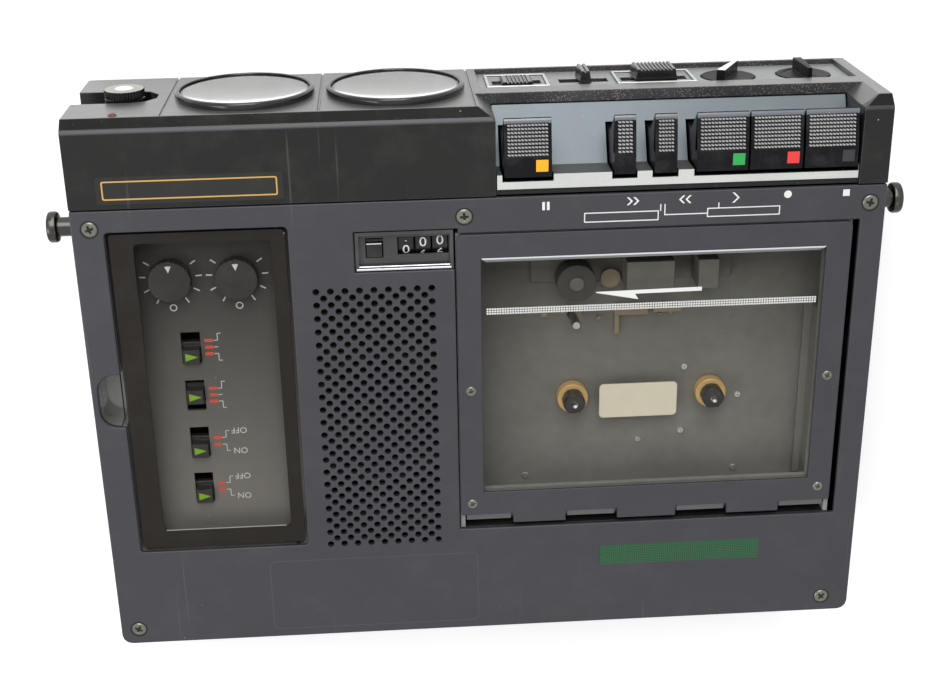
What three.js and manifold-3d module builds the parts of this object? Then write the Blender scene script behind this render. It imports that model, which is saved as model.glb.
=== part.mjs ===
// A portable cassette recorder with piano keys, two level meters and a smoked control lid.
// Millimetres. Pieces are placed from a datum on the seam between the front bar and the top plate,
// at the height of the plate: x to the right, y to the rear, z up.
import * as THREE from "three";
import { mergeVertices } from "three/addons/utils/BufferGeometryUtils.js";
import Module from "manifold-3d";

const wasm = await Module();
wasm.setup();

// Body and fits
const body = { wall: 2.2, cornerRadius: 3 };
const fit = { gap: 0.3, slip: 0.3, overrun: 1, weld: 0.2, mergeDistance: 0.0001 };
const bar = { noseGap: 0.2, chamferDepth: 3.1, chamferDrop: 3.3, skin: 2.4, skirt: 12 };
const plate = { thickness: 1.6, seam: 0.5, frontSeam: 0.4 };
const foot = { radius: 5.5, height: 1.2, sideInset: 12, frontInset: 12, rearInset: 10 };
const boss = { radius: 2.2, rightInset: 5.1, leftInset: 4.6, frontInset: 5.6, rearInset: 5.2 };

// Smoked lid and the control tray under it
const lid = {
  width: 48.8,
  length: 100,
  frontMargin: 7.6,
  rightMargin: 9.6,
  thickness: 2,
  rimWidth: 4.6,
  rimDrop: 1.4,
  seam: 0.8,
  cornerRadius: 1.2,
  chamfer: 1.2,
  hingeInset: 2.2,
  hingeDrop: 2.6,
  pinRadius: 0.6,
  pinReach: 1.1,
};
const lidTray = { wall: 1.2, depth: 8, floor: 1.2 };
const notch = { frontOffset: 42, length: 16.7, reach: 7, radius: 5, depth: 5.4, blockWall: 1.4 };
const trimKnob = {
  radius: 6.2,
  height: 3.4,
  lift: 0.4,
  shaftRadius: 1.5,
  shaftDrop: 4,
  frontOffset: 15.8,
  firstOffset: 14.8,
  pitch: 18.9,
  gripCount: 24,
  gripDepth: 0.3,
  pointerWidth: 1.2,
  pointerDepth: 0.3,
};
const trimSwitch = {
  offset: 29.8,
  frontOffset: 37.6,
  pitch: 15.3,
  slotWidth: 5.6,
  slotLength: 9.8,
  knobLength: 4.6,
  knobLift: 1.6,
  carriageDrop: 2.4,
  carriageLip: 1.1,
  travel: 2.4,
};

// Cassette door
const door = {
  leftMargin: 8.8,
  frontMargin: 11,
  sideRoom: 6.35,
  rearRoom: 5.5,
  coverThickness: 1,
  frameDepth: 3.5,
  overhang: 1.6,
  leftSeam: 1.8,
  rearSeam: 1.6,
  cornerRadius: 1.5,
};
const doorWindow = {
  leftMargin: 7.2,
  rightMargin: 6.9,
  frontMargin: 7.1,
  rearMargin: 10.8,
  recess: 0.3,
  thickness: 1.6,
  ledge: 1.5,
};
const doorHinge = {
  edgeInset: 1.7,
  drop: 2.6,
  rodRadius: 0.8,
  lugHalfDepth: 0.9,
  lugTop: 1.1,
  notchDepth: 3.2,
  notchLength: 15.8,
  endInset: 7.85,
  innerShare: 0.347,
  footInset: 0.6,
};

// Cassette, cells, deck and reel drive
const cassette = { width: 100.4, height: 63.8, thickness: 8.7, reelSpacing: 42.5, reelToHeads: 34.7 };
const holder = { wall: 1.2, lip: 2, lipThickness: 1, clearance: 0.5, frontInset: 6, topGap: 0.6 };
const battery = { cellDiameter: 34.2, cellLength: 61.5, cells: 3, springRoom: 4, play: 0.8, wall: 1.6 };
const batteryDoor = { thickness: 2.4, tongue: 1.1, tongueReach: 2, lip: 1, frontLap: 2, ribs: 7 };
const gripRib = { width: 1.1, pitch: 2.4, length: 26, height: 0.5, inset: 6 };
const deck = {
  wall: 1.4,
  depth: 17,
  headRoom: 23.5,
  rearGap: 1.9,
  rimGap: 0.4,
  shelfDepth: 6.5,
  coverGap: 0.4,
  roofGap: 3.1,
};
const spindle = {
  baseRadius: 4.5,
  baseHeight: 3.2,
  capRadius: 3.1,
  capHeight: 3.8,
  tipRadius: 1,
  tipHeight: 2,
  finReach: 0.9,
  finWidth: 0.8,
  fins: 6,
  shaftRadius: 1.6,
  lift: 0.5,
  pulleyRadius: 10,
  pulleyDrop: 3.2,
  pulleyHeight: 2,
};

// Capstan, pinch roller, head plate, motor and belt
const capstan = {
  offset: 21.2,
  rearOfEdge: 8.5,
  radius: 1.3,
  top: 8,
  flywheelRadius: 15,
  flywheelDrop: 6,
  flywheelHeight: 4,
};
const pinch = { radius: 5.8, height: 7, travel: 5.5, contactGap: 0.4, pinRadius: 1, pinHead: 2.2 };
const headPlate = {
  thickness: 1,
  leftReach: 26,
  rightReach: 34,
  depth: 11,
  rearInset: 2.6,
  headWidth: 14,
  headDepth: 9,
  headHeight: 10,
  eraseOffset: 17,
  eraseWidth: 6,
};
const motor = { radius: 13.5, offset: 36.4, forward: 3, pulleyRadius: 4, pulleyHeight: 3 };
const belt = { thickness: 1.2, width: 2 };

// Piano keys and the bay that they stand in
const bay = {
  leftBlock: 8.3,
  rightGap: 5.3,
  wallDrop: 18,
  wallGap: 0.7,
  slopeRearDrop: 9.7,
  railRear: 1.7,
  railNotch: 3.8,
  railDrop: 0.4,
  railFlange: 3.6,
  sheet: 1,
  strip: 1.4,
  stripDrop: 1.2,
  stripFoot: 9,
  slotGap: 1.1,
  endWall: 2.4,
  endWallDrop: 19,
  splay: 4.5,
};
const key = {
  rearTop: 5.1,
  flatFront: 11.2,
  ribFront: 19.2,
  ribRise: 1.5,
  ribs: 9,
  ribDepth: 0.55,
  ribCrestShare: 0.75,
  noseFront: 21.4,
  noseTop: 1.9,
  noseMiddle: 2.5,
  noseUnder: 3.3,
  noseRound: 0.55,
  stemFront: 15.1,
  stemTop: 9.4,
  stemRear: 9,
  stemUnder: 19.4,
  armTop: 11.2,
  armUnder: 17.2,
  armSide: 0.6,
  pivotY: 5.5,
  pivotDrop: 13,
  pivotRadius: 3,
  side: 0.55,
  insetSize: 3.7,
  insetSide: 0.6,
  insetRear: 1.4,
  insetDepth: 0.4,
};
// Key widths and the gaps on their left side, from the left end of the bay
const keyRow = {
  stop: 15,
  stopGap: 0.9,
  record: 14.8,
  recordGap: 0.6,
  play: 14.5,
  playGap: 0.5,
  review: 6.2,
  reviewGap: 5.5,
  cue: 6,
  cueGap: 5.3,
  pause: 13.2,
  pauseRightGap: 2.3,
};
const keyShaft = { radius: 1.3, endInset: 0.6, ribWall: 1.4 };

// Front panel, control recess and level meters
const panel = { thickness: 3.2, grooveWidth: 0.6, grooveDepth: 0.5 };
const recess = {
  leftInset: 3.4,
  rightOffset: 2.5,
  top: 25,
  bottomRim: 1,
  depth: 1.5,
  flange: 0.8,
  flangeDepth: 1,
};
const meterField = { width: 42.7, rightMargin: 26.8 };
const meter = {
  below: 1,
  radius: 19.75,
  proud: 2,
  rimBevel: 0.45,
  seatRadius: 18.3,
  seatDepth: 1.6,
  glassRadius: 18.1,
  glassThickness: 1,
  glassDome: 0.5,
  boreRadius: 17.4,
  holeRadius: 18.6,
  bodyRadius: 18.4,
  faceDepth: 7.3,
  bodyDepth: 8.8,
  coreRadius: 10,
  coreDepth: 18.8,
};
const needle = {
  pivotDrop: 9.5,
  length: 22,
  width: 0.7,
  thickness: 0.5,
  hubRadius: 1.4,
  lift: 0.3,
  restAngle: 45,
};
const levelKnob = {
  rightInset: 14.1,
  below: 2,
  slotInset: 16.5,
  slotHalf: 7.2,
  cupWall: 1.2,
  cupDepth: 11.8,
  innerRadius: 5.65,
  innerLength: 7.4,
  outerRadius: 6.1,
  outerLength: 5.2,
  proud: 2.4,
  shaftRadius: 1.4,
  outerShaftRadius: 2.6,
  shaftReach: 4,
  ringDepth: 0.5,
  ringCount: 3,
};
// Slide controls on the front, from the right end of the recess
const slider = {
  rightOffset: 11.6,
  rightKnob: 9.5,
  rightSlot: 14.4,
  rightHeight: 9,
  middleOffset: 31.4,
  middleKnob: 3.6,
  middleSlot: 14.4,
  middleHeight: 10.5,
  leftOffset: 52.3,
  leftKnob: 12.4,
  leftSlot: 19.4,
  leftHeight: 10.5,
  proud: 2.3,
  rightSunk: 0.4,
  slotHeight: 5,
  lift: 0.3,
  carriageLip: 1.4,
  carriageDepth: 1.4,
  frameWidth: 0.9,
  frameProud: 0.7,
  frameGap: 1.1,
  frameHeight: 15.6,
  gripPitch: 1.1,
  gripDepth: 0.4,
  taper: 1.2,
  stemShare: 0.5,
};
const dial = {
  rise: 0.6,
  radius: 8.2,
  rightOffset: 35.1,
  leftOffset: 12.6,
  sliderGap: 22.2,
  barWidth: 2.6,
  barProud: 3.4,
  barInset: 0.8,
  flange: 0.9,
  flangeDepth: 1,
  faceLift: 0.2,
  restTurn: 150,
};

// Counter
const counter = {
  length: 27.9,
  frontMargin: 9.4,
  depth: 11.4,
  seam: 0.3,
  rim: 0.4,
  dish: 2.2,
  sheet: 0.8,
  border: 1,
  windowLeft: 1.2,
  windowLength: 14.5,
  windowFront: 2.2,
  windowDepth: 5.2,
  wheels: 3,
  wheelRadius: 6,
  wheelInset: 5,
  wheelDrop: 9.4,
  wheelWidth: 4.4,
  wheelPitch: 4.8,
  axleRadius: 0.9,
  clearance: 0.4,
  boxDepth: 13,
};
const resetButton = {
  leftOffset: 20,
  width: 4.4,
  frontOffset: 3.6,
  depth: 4.2,
  top: 1.5,
  height: 5,
  lip: 0.8,
  travel: 1.4,
};

// Grille, speaker, circuit board, sockets and strap studs
const grille = {
  columns: 9,
  rows: 21,
  pitch: 4.1,
  holeRadius: 0.98,
  margin: 2.5,
  sideBand: 4.95,
  frontMargin: 26.4,
};
const speaker = {
  radius: 21.5,
  flange: 1.4,
  top: 0.5,
  rim: 2,
  coneDepth: 7,
  coneRadius: 6,
  capRise: 1.4,
  backDepth: 12,
  magnetRadius: 11,
  magnetDepth: 8,
  wall: 1.4,
};
const board = {
  leftGap: 4,
  rightGap: 7.9,
  front: 8,
  length: 88,
  lift: 1.8,
  thickness: 1.6,
  legRadius: 2,
  legInset: 5,
};
const capacitor = { radius: 4, height: 11, pitch: 11 };
const chip = { length: 20, depth: 8, height: 3.2, pitch: 24 };
const socket = {
  rise: 13.8,
  barrelRadius: 4.7,
  nutRadius: 5.9,
  nutProud: 0.8,
  phoneBore: 3.2,
  lineBore: 3.4,
  length: 17,
  endWall: 1.6,
  bracket: 1.2,
  bracketHalf: 7,
  bracketEnd: 8,
  pinRadius: 1.5,
};
const micRow = { front: 64, pitch: 18, count: 2 };
const lineRow = { front: 30, pitch: 15, count: 5 };
const stud = {
  setback: 9.2,
  drop: 15,
  washerRadius: 4.2,
  washer: 0.8,
  shaftRadius: 2.8,
  shaftLength: 6.3,
  headRadius: 4.5,
  headLength: 3,
  headRound: 0.8,
  rootRadius: 2,
};

const sides = { hole: 4, hexagon: 6, corner: 3, coarse: 10, round: 16, wheel: 20, fine: 32 };
const turn = 2 * Math.PI;

// Places across: the door has room for a cassette, with the speaker field and the lid beside it
const doorWidth = cassette.width + 2 * door.sideRoom;
const grilleWidth = (grille.columns - 1) * grille.pitch + 2 * grille.margin;
const lidZone = lid.width + lid.rightMargin;
const topRow = door.leftMargin + doorWidth + grilleWidth + 2 * grille.sideBand + lidZone;
const controlRow = dial.rightOffset + dial.sliderGap + slider.leftOffset;
const meterRow = bay.rightGap + 2 * meterField.width + meterField.rightMargin;
const frontRow = recess.leftInset + controlRow - recess.rightOffset + meterRow;
const width = Math.max(topRow, frontRow);
const right = width / 2;
const left = -right;
const innerRight = right - body.wall;
const innerLeft = left + body.wall;
const lidRight = right - lid.rightMargin;
const lidLeft = lidRight - lid.width;
const doorLeft = left + door.leftMargin;
const doorRight = doorLeft + doorWidth;
const doorCentre = (doorLeft + doorRight) / 2;
const windowLeft = doorLeft + doorWindow.leftMargin;
const windowRight = doorRight - doorWindow.rightMargin;
const capstanX = doorCentre + capstan.offset;
const motorX = doorCentre - motor.offset;
const bayLeft = left + bay.leftBlock;
const panelLeftGroove = right - meterField.rightMargin - 2 * meterField.width;
const bayRight = panelLeftGroove - bay.rightGap;
const recessLeft = left + recess.leftInset;
const recessRight = bayRight + recess.rightOffset;
const meterXs = [0.5, 1.5].map((share) => right - meterField.rightMargin - share * meterField.width);
const levelX = right - levelKnob.rightInset;
const counterLeft = doorRight + plate.seam + counter.seam;
const counterRight = counterLeft + counter.length - counter.seam;
const bayHalf = (battery.cells * battery.cellLength + battery.springRoom) / 2;

// Places from the front to the rear: the keys, the deck with its cassette, and the row of cells
const front = -key.noseFront - bar.noseGap - panel.thickness;
const panelBack = front + panel.thickness;
const recessFloor = front + recess.depth;
const trayBack = panelBack + recess.flangeDepth;
const bayWall = -key.rearTop - bay.wallGap;
const lidFront = lid.frontMargin;
const lidRear = lidFront + lid.length;
const counterFront = counter.frontMargin;
const counterRear = counterFront + counter.depth;
const wheelY = counterFront + counter.wheelInset;
const doorFront = door.frontMargin;
const headEdge = doorFront + deck.headRoom;
const reelY = headEdge + cassette.reelToHeads;
const cassetteRear = headEdge + cassette.height;
const capstanY = headEdge + capstan.rearOfEdge;
const pinchY = capstanY - capstan.radius - pinch.radius - pinch.travel - pinch.contactGap;
const motorY = capstanY - motor.forward;
const doorRear = cassetteRear + door.rearRoom;
const windowFront = doorFront + doorWindow.frontMargin;
const windowRear = doorRear - doorWindow.rearMargin;
const pocketRear = cassetteRear + deck.rearGap;
const bayWallFront = pocketRear + deck.wall + fit.gap;
const bayFront = bayWallFront + battery.wall;
const bayRear = bayFront + battery.cellDiameter + battery.play;
const rear = bayRear + body.wall;

// Heights, down from the plate: the cells stand between the shelf behind the deck and their own door
const underPlate = -plate.thickness;
const panelTop = -bar.chamferDrop;
const trayFloor = -lidTray.depth;
const doorUnder = -door.coverThickness - door.frameDepth;
const cassetteTop = doorUnder - holder.topGap;
const deckFloor = -deck.depth;
const deckUnder = deckFloor - deck.wall;
const flywheelTop = deckUnder - capstan.flywheelDrop;
const flywheelUnder = flywheelTop - capstan.flywheelHeight;
const bayRoof = -deck.shelfDepth - deck.wall - deck.roofGap - battery.wall;
const bottom = bayRoof - battery.cellDiameter - battery.play - batteryDoor.thickness;
const floorTop = bottom + body.wall;
const meterZ = bottom / 2 - meter.below;
const levelZ = bottom / 2 - levelKnob.below;
const recessMiddle = (bottom + recess.bottomRim - recess.top) / 2;
const dialZ = recessMiddle + dial.rise;
const socketZ = floorTop + socket.rise;
const hingeAxis = { y: doorRear - doorHinge.edgeInset, z: -doorHinge.drop };
const lidHinge = { x: lidLeft + lid.hingeInset, z: -lid.hingeDrop };

// Colours and finishes
const finish = (color, roughness, metalness = 0, opacity = 1) =>
  new THREE.MeshStandardMaterial({
    color,
    roughness,
    metalness,
    opacity,
    transparent: opacity < 1,
    flatShading: true,
  });
const finishes = {
  slate: finish(0x4a4950, 0.6, 0.3),
  black: finish(0x262624, 0.5),
  deckBlack: finish(0x32322f, 0.6),
  baySheet: finish(0x808c93, 0.5, 0.4),
  keyBlack: finish(0x1d1e20, 0.35),
  smoke: finish(0x6e6c64, 0.1, 0, 0.45),
  lidSmoke: finish(0x48423c, 0.15, 0, 0.6),
  glass: finish(0xd8dad8, 0.08, 0, 0.4),
  steel: finish(0xa8a8a4, 0.35, 1),
  darkSteel: finish(0x4c4a46, 0.3, 1),
  rubber: finish(0x1b1b1b, 0.9),
  copper: finish(0xa57d50, 0.4, 0.8),
  meterBody: finish(0xcfcfca, 0.6),
  board: finish(0x4f6b3c, 0.6),
};

// Solids
function solidFrom(geometry) {
  geometry.deleteAttribute("normal");
  geometry.deleteAttribute("uv");
  const merged = mergeVertices(geometry, fit.mergeDistance);
  const corners = [];
  for (let i = 0; i < merged.index.count; i += 3) {
    const [a, b, c] = [0, 1, 2].map((step) => merged.index.getX(i + step));
    if (a !== b && b !== c && c !== a) corners.push(a, b, c);
  }
  const make = (triVerts) =>
    new wasm.Manifold(
      new wasm.Mesh({
        numProp: 3,
        vertProperties: Float32Array.from(merged.attributes.position.array),
        triVerts: Uint32Array.from(triVerts),
      }),
    );
  const solid = make(corners);
  return solid.volume() < 0 ? make(corners.reverse()) : solid;
}

function geometryFrom(solid) {
  const mesh = solid.getMesh();
  const geometry = new THREE.BufferGeometry();
  geometry.setAttribute("position", new THREE.BufferAttribute(mesh.vertProperties, mesh.numProp));
  geometry.setIndex(new THREE.BufferAttribute(mesh.triVerts, 1));
  return geometry;
}

// Each axis as the direction that a section is pushed along, with the section's own two directions.
const axes = {
  x: new THREE.Matrix4().makeBasis(
    new THREE.Vector3(0, 1, 0),
    new THREE.Vector3(0, 0, 1),
    new THREE.Vector3(1, 0, 0),
  ),
  y: new THREE.Matrix4().makeBasis(
    new THREE.Vector3(0, 0, 1),
    new THREE.Vector3(1, 0, 0),
    new THREE.Vector3(0, 1, 0),
  ),
  z: new THREE.Matrix4(),
};

// A flat outline pushed along an axis. Points are (y, z) for x, (x, z) for y and (x, y) for z.
function push(points, axis, from, to) {
  const outline = axis === "y" ? points.map(([x, z]) => [z, x]) : points;
  const shape = new THREE.Shape(outline.map(([u, v]) => new THREE.Vector2(u, v)));
  const geometry = new THREE.ExtrudeGeometry(shape, { depth: to - from, bevelEnabled: false });
  geometry.translate(0, 0, from);
  geometry.applyMatrix4(axes[axis]);
  return solidFrom(geometry);
}

const block = (x, y, z) =>
  push([[x[0], y[0]], [x[1], y[0]], [x[1], y[1]], [x[0], y[1]]], "z", z[0], z[1]);

const arc = (u, v, radius, start, end, steps) =>
  Array.from({ length: steps + 1 }, (_, step) => {
    const angle = start + ((end - start) * step) / steps;
    return [u + radius * Math.cos(angle), v + radius * Math.sin(angle)];
  });

const circle = (u, v, radius, count) => arc(u, v, radius, 0, turn, count).slice(0, count);

const rod = (axis, centre, radius, from, to, count = sides.round) =>
  push(circle(centre[0], centre[1], radius, count), axis, from, to);

function roundedRectangle(x, y, radius, steps = sides.corner) {
  const quarter = turn / 4;
  return [
    ...arc(x[1] - radius, y[1] - radius, radius, 0, quarter, steps),
    ...arc(x[0] + radius, y[1] - radius, radius, quarter, 2 * quarter, steps),
    ...arc(x[0] + radius, y[0] + radius, radius, 2 * quarter, 3 * quarter, steps),
    ...arc(x[1] - radius, y[0] + radius, radius, 3 * quarter, turn, steps),
  ];
}

const roundedBlock = (x, y, z, radius) => push(roundedRectangle(x, y, radius), "z", z[0], z[1]);

// A profile of (radius, height) points turned about an axis through a centre.
const lathePlacing = {
  x: new THREE.Matrix4().makeBasis(
    new THREE.Vector3(0, 1, 0),
    new THREE.Vector3(1, 0, 0),
    new THREE.Vector3(0, 0, -1),
  ),
  y: new THREE.Matrix4(),
  z: new THREE.Matrix4().makeBasis(
    new THREE.Vector3(1, 0, 0),
    new THREE.Vector3(0, 0, 1),
    new THREE.Vector3(0, -1, 0),
  ),
};

function turned(profile, axis, centre, count = sides.round) {
  const points = profile.map(([radius, height]) => new THREE.Vector2(radius, height));
  const geometry = new THREE.LatheGeometry(points, count);
  geometry.applyMatrix4(lathePlacing[axis]);
  const shift = {
    x: [0, centre[0], centre[1]],
    y: [centre[0], 0, centre[1]],
    z: [centre[0], centre[1], 0],
  }[axis];
  geometry.translate(...shift);
  return solidFrom(geometry);
}

const joined = (solids) => solids.reduce((whole, solid) => whole.add(solid));
const cut = (solid, cutters) => cutters.reduce((whole, cutter) => whole.subtract(cutter), solid);
const grown = (range, margin) => [range[0] - margin, range[1] + margin];
const around = (middle, half) => [middle - half, middle + half];
const past = fit.overrun;

// The whole recorder stands on its feet, with its origin under the middle of its outer box.
const recorder = new THREE.Group();
const datum = new THREE.Group();
datum.position.set(0, (levelKnob.proud - front - rear) / 2, foot.height - bottom);
recorder.add(datum);

function place(name, solid, material, group = datum) {
  const mesh = new THREE.Mesh(geometryFrom(solid), material);
  mesh.name = name;
  group.add(mesh);
}

const levelCentre = [levelX, levelZ];

// Bottom case
function levelSlot(margin, from, to) {
  const half = levelKnob.slotHalf + margin;
  const middle = right - levelKnob.slotInset;
  const outline = [
    [right + past, levelZ - half],
    [right + past, levelZ + half],
    ...arc(middle, levelZ, half, turn / 4, (3 * turn) / 4, sides.coarse / 2),
  ];
  return push(outline, "y", from, to);
}

function batteryDoorSolid(margin, from, to) {
  const half = bayHalf + batteryDoor.lip + margin;
  const wide = half + batteryDoor.tongueReach;
  const shoulder = bottom + batteryDoor.thickness - batteryDoor.tongue - margin;
  const top = bottom + batteryDoor.thickness + margin;
  const under = margin > 0 ? bottom - past : bottom;
  const outline = [
    [-half, under],
    [half, under],
    [half, shoulder],
    [wide, shoulder],
    [wide, top],
    [-wide, top],
    [-wide, shoulder],
    [-half, shoulder],
  ];
  return push(outline, "y", from, to);
}

// Left and right edges of each key, worked out along the row from the left end of the bay.
function keyEdges() {
  const edges = {};
  let x = bayLeft;
  const next = (name, gap, keyWidth) => {
    x += gap;
    edges[name] = [x, x + keyWidth];
    x += keyWidth;
  };
  next("stop", keyRow.stopGap, keyRow.stop);
  next("record", keyRow.recordGap, keyRow.record);
  next("play", keyRow.playGap, keyRow.play);
  next("review", keyRow.reviewGap, keyRow.review);
  next("cue", keyRow.cueGap, keyRow.cue);
  edges.pause = [bayRight - keyRow.pauseRightGap - keyRow.pause, bayRight - keyRow.pauseRightGap];
  return edges;
}
const keys = keyEdges();
const shaftRibs = [bayLeft - 2 * key.side, (keys.play[1] + keys.review[0]) / 2, bayRight + bay.endWall / 2];

function bottomCase() {
  const quarter = turn / 4;
  const radius = body.cornerRadius;
  const outline = [
    [left, panelBack],
    [right, panelBack],
    ...arc(right - radius, rear - radius, radius, 0, quarter, sides.corner),
    ...arc(left + radius, rear - radius, radius, quarter, 2 * quarter, sides.corner),
  ];
  const shell = push(outline, "z", bottom, underPlate);
  const inner = [innerLeft, innerRight];
  const tub = cut(shell, [
    block(inner, [panelBack - past, bayWallFront], [floorTop, past]),
    block(inner, [bayWallFront - past, bayRear], [bayRoof + battery.wall, past]),
    block([bayHalf + battery.wall, innerRight], [bayWallFront - past, bayRear], [floorTop, past]),
    block([innerLeft, -bayHalf - battery.wall], [bayWallFront - past, bayRear], [floorTop, past]),
    block([-bayHalf, bayHalf], [bayFront, bayRear], [bottom - past, bayRoof]),
    block([left - past, right + past], [panelBack - past, 0], [-bar.skirt, past]),
  ]);
  const bosses = [
    [right - boss.rightInset, boss.frontInset],
    [left + boss.leftInset, boss.frontInset],
    [right - boss.rightInset, rear - boss.rearInset],
    [left + boss.leftInset, rear - boss.rearInset],
    [doorRight - boss.radius, boss.frontInset - fit.gap],
  ].map((at) => rod("z", at, boss.radius, floorTop - fit.weld, underPlate, sides.coarse));
  const feet = [left + foot.sideInset, right - foot.sideInset].flatMap((x) =>
    [panelBack + foot.frontInset, rear - foot.rearInset].map((y) =>
      rod("z", [x, y], foot.radius, bottom - foot.height, bottom + fit.weld),
    ),
  );
  const ribs = shaftRibs.map((x) =>
    block(
      around(x, keyShaft.ribWall / 2),
      around(key.pivotY, key.pivotRadius),
      [floorTop - fit.weld, -key.pivotDrop + key.pivotRadius],
    ),
  );
  const notchLeft = lidRight + lid.seam + lidTray.wall + fit.gap;
  const notchY = [lidFront + notch.frontOffset, lidFront + notch.frontOffset + notch.length];
  const fingerBlock = block(
    [notchLeft, innerRight + fit.weld],
    grown(notchY, notch.blockWall),
    [underPlate - notch.depth - notch.blockWall, underPlate],
  );
  const openings = [
    fingerNotch(underPlate - notch.depth, past),
    levelSlot(levelKnob.cupWall + fit.gap, panelBack - past, panelBack + levelKnob.cupDepth + fit.gap),
    batteryDoorSolid(fit.gap, bayFront - batteryDoor.frontLap - fit.gap, rear + past),
    rod(
      "x",
      [key.pivotY, -key.pivotDrop],
      keyShaft.radius + fit.slip,
      innerLeft,
      bayRight + bay.endWall + past,
    ),
    ...[left, right].map((side) =>
      rod(
        "x",
        [stud.setback, -stud.drop],
        stud.rootRadius + fit.slip,
        side - body.wall - past,
        side + body.wall + past,
        sides.coarse,
      ),
    ),
    ...micYs.map(
      (y) => rod("x", [y, socketZ], socket.barrelRadius + fit.slip, left - past, innerLeft + past),
    ),
    ...lineYs.map(
      (y) => rod("x", [y, socketZ], socket.barrelRadius + fit.slip, innerRight - past, right + past),
    ),
  ];
  return cut(joined([tub, fingerBlock, ...bosses, ...feet, ...ribs]), openings);
}

// The finger scoop beside the lid, open towards the lid.
function fingerNotch(from, to) {
  const y = [lidFront + notch.frontOffset, lidFront + notch.frontOffset + notch.length];
  const reach = lidRight + lid.seam + notch.reach;
  const quarter = turn / 4;
  const outline = [
    [lidRight - past, y[0]],
    ...arc(reach - notch.radius, y[0] + notch.radius, notch.radius, -quarter, 0, sides.coarse / 2),
    ...arc(reach - notch.radius, y[1] - notch.radius, notch.radius, 0, quarter, sides.coarse / 2),
    [lidRight - past, y[1]],
  ];
  return push(outline, "z", from, to);
}

const micYs = Array.from({ length: micRow.count }, (_, step) => micRow.front + step * micRow.pitch);
const lineYs = Array.from({ length: lineRow.count }, (_, step) => lineRow.front + step * lineRow.pitch);

function batteryCover() {
  const cover = batteryDoorSolid(0, bayFront - batteryDoor.frontLap, rear);
  const grips = Array.from({ length: batteryDoor.ribs }, (_, count) => {
    const y = bayFront + gripRib.inset + count * gripRib.pitch;
    return block(
      around(0, gripRib.length / 2),
      [y, y + gripRib.width],
      [bottom - past, bottom + gripRib.height],
    );
  });
  return cut(cover, grips);
}

place("bottom_case", bottomCase(), finishes.black);
place("battery_door", batteryCover(), finishes.black);

// Top plate and grille
const grilleCentre = (doorRight + lidLeft) / 2 - plate.seam / 2;
const grilleX = around(grilleCentre, grilleWidth / 2);
const grilleY = grown(
  [grille.frontMargin, grille.frontMargin + (grille.rows - 1) * grille.pitch],
  grille.margin,
);
const lidOpening = { x: grown([lidLeft, lidRight], lid.seam), y: grown([lidFront, lidRear], lid.seam) };
const doorOpening = {
  x: [doorLeft - door.leftSeam, doorRight + plate.seam],
  y: [doorFront - plate.seam, doorRear + door.rearSeam],
};

function topPlate() {
  const radius = body.cornerRadius;
  const quarter = turn / 4;
  const outline = [
    [left, plate.frontSeam],
    [right, plate.frontSeam],
    ...arc(right - radius, rear - radius, radius, 0, quarter, sides.corner),
    ...arc(left + radius, rear - radius, radius, quarter, 2 * quarter, sides.corner),
  ];
  const through = [underPlate - past, past];
  return cut(push(outline, "z", underPlate, 0), [
    block(doorOpening.x, doorOpening.y, through),
    roundedBlock(lidOpening.x, lidOpening.y, through, lid.cornerRadius),
    block(grilleX, grilleY, through),
    block(
      [doorOpening.x[1] - past, counterRight + counter.seam],
      grown([counterFront, counterRear], counter.seam),
      through,
    ),
    fingerNotch(underPlate - past, past),
  ]);
}

// The perforated field: a square grid of holes with a second grid between them.
function speakerGrille() {
  const sheet = block(grilleX, grilleY, [underPlate, 0]);
  const holes = [];
  for (const shift of [0, 1]) {
    for (let column = 0; column < grille.columns - shift; column += 1) {
      for (let row = 0; row < grille.rows - shift; row += 1) {
        const x = grilleX[0] + grille.margin + (column + shift / 2) * grille.pitch;
        const y = grilleY[0] + grille.margin + (row + shift / 2) * grille.pitch;
        holes.push(rod("z", [x, y], grille.holeRadius, underPlate - past, past, sides.hole));
      }
    }
  }
  return sheet.subtract(wasm.Manifold.compose(holes));
}

place("top_plate", topPlate(), finishes.slate);
place("speaker_grille", speakerGrille(), finishes.slate);

// Front bar and key bay
function frontBar() {
  const shell = [
    [0, 0],
    [front + bar.chamferDepth, 0],
    [front, panelTop],
    [panelBack, panelTop],
    [panelBack, -bar.skin - fit.gap],
    [panelBack + bar.skin, -bar.skin],
    [-bar.skin, -bar.skin],
    [-bar.skin, -bar.skirt],
    [0, -bar.skirt],
  ];
  const wall = (from, to, drop) =>
    block([from, to], [panelBack, -fit.gap], [-drop, -bar.skin + fit.weld]);
  const solid = joined([
    push(shell, "x", left, right),
    wall(left, innerLeft, bar.skirt),
    wall(innerRight, right, bar.skirt),
    wall(bayRight, bayRight + bay.endWall, bay.endWallDrop),
    wall(bayLeft - bay.endWall, bayLeft, bay.endWallDrop),
  ]);
  const across = [bayLeft, bayRight];
  return cut(solid, [
    ...baySplays(),
    block(across, [front - past, -bay.strip], [-bar.skirt - past, past]),
    block(across, [-bay.strip - past, past], [-bay.stripDrop, past]),
    block(across, [-bar.skin - past, past], [-bar.skirt - past, -bay.stripFoot]),
  ]);
}

// The bay's ends widen towards the front face, through the bar and the front panel.
const baySplays = () =>
  [-1, 1].map((side) => {
    const edge = side < 0 ? bayLeft : bayRight;
    const reach = (side * bay.splay * (panelBack - front + past)) / (panelBack - front);
    return push(
      [
        [edge, panelBack],
        [edge + reach, front - past],
        [edge - side * past, front - past],
      ],
      "z",
      -bay.wallDrop,
      past,
    );
  });

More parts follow.
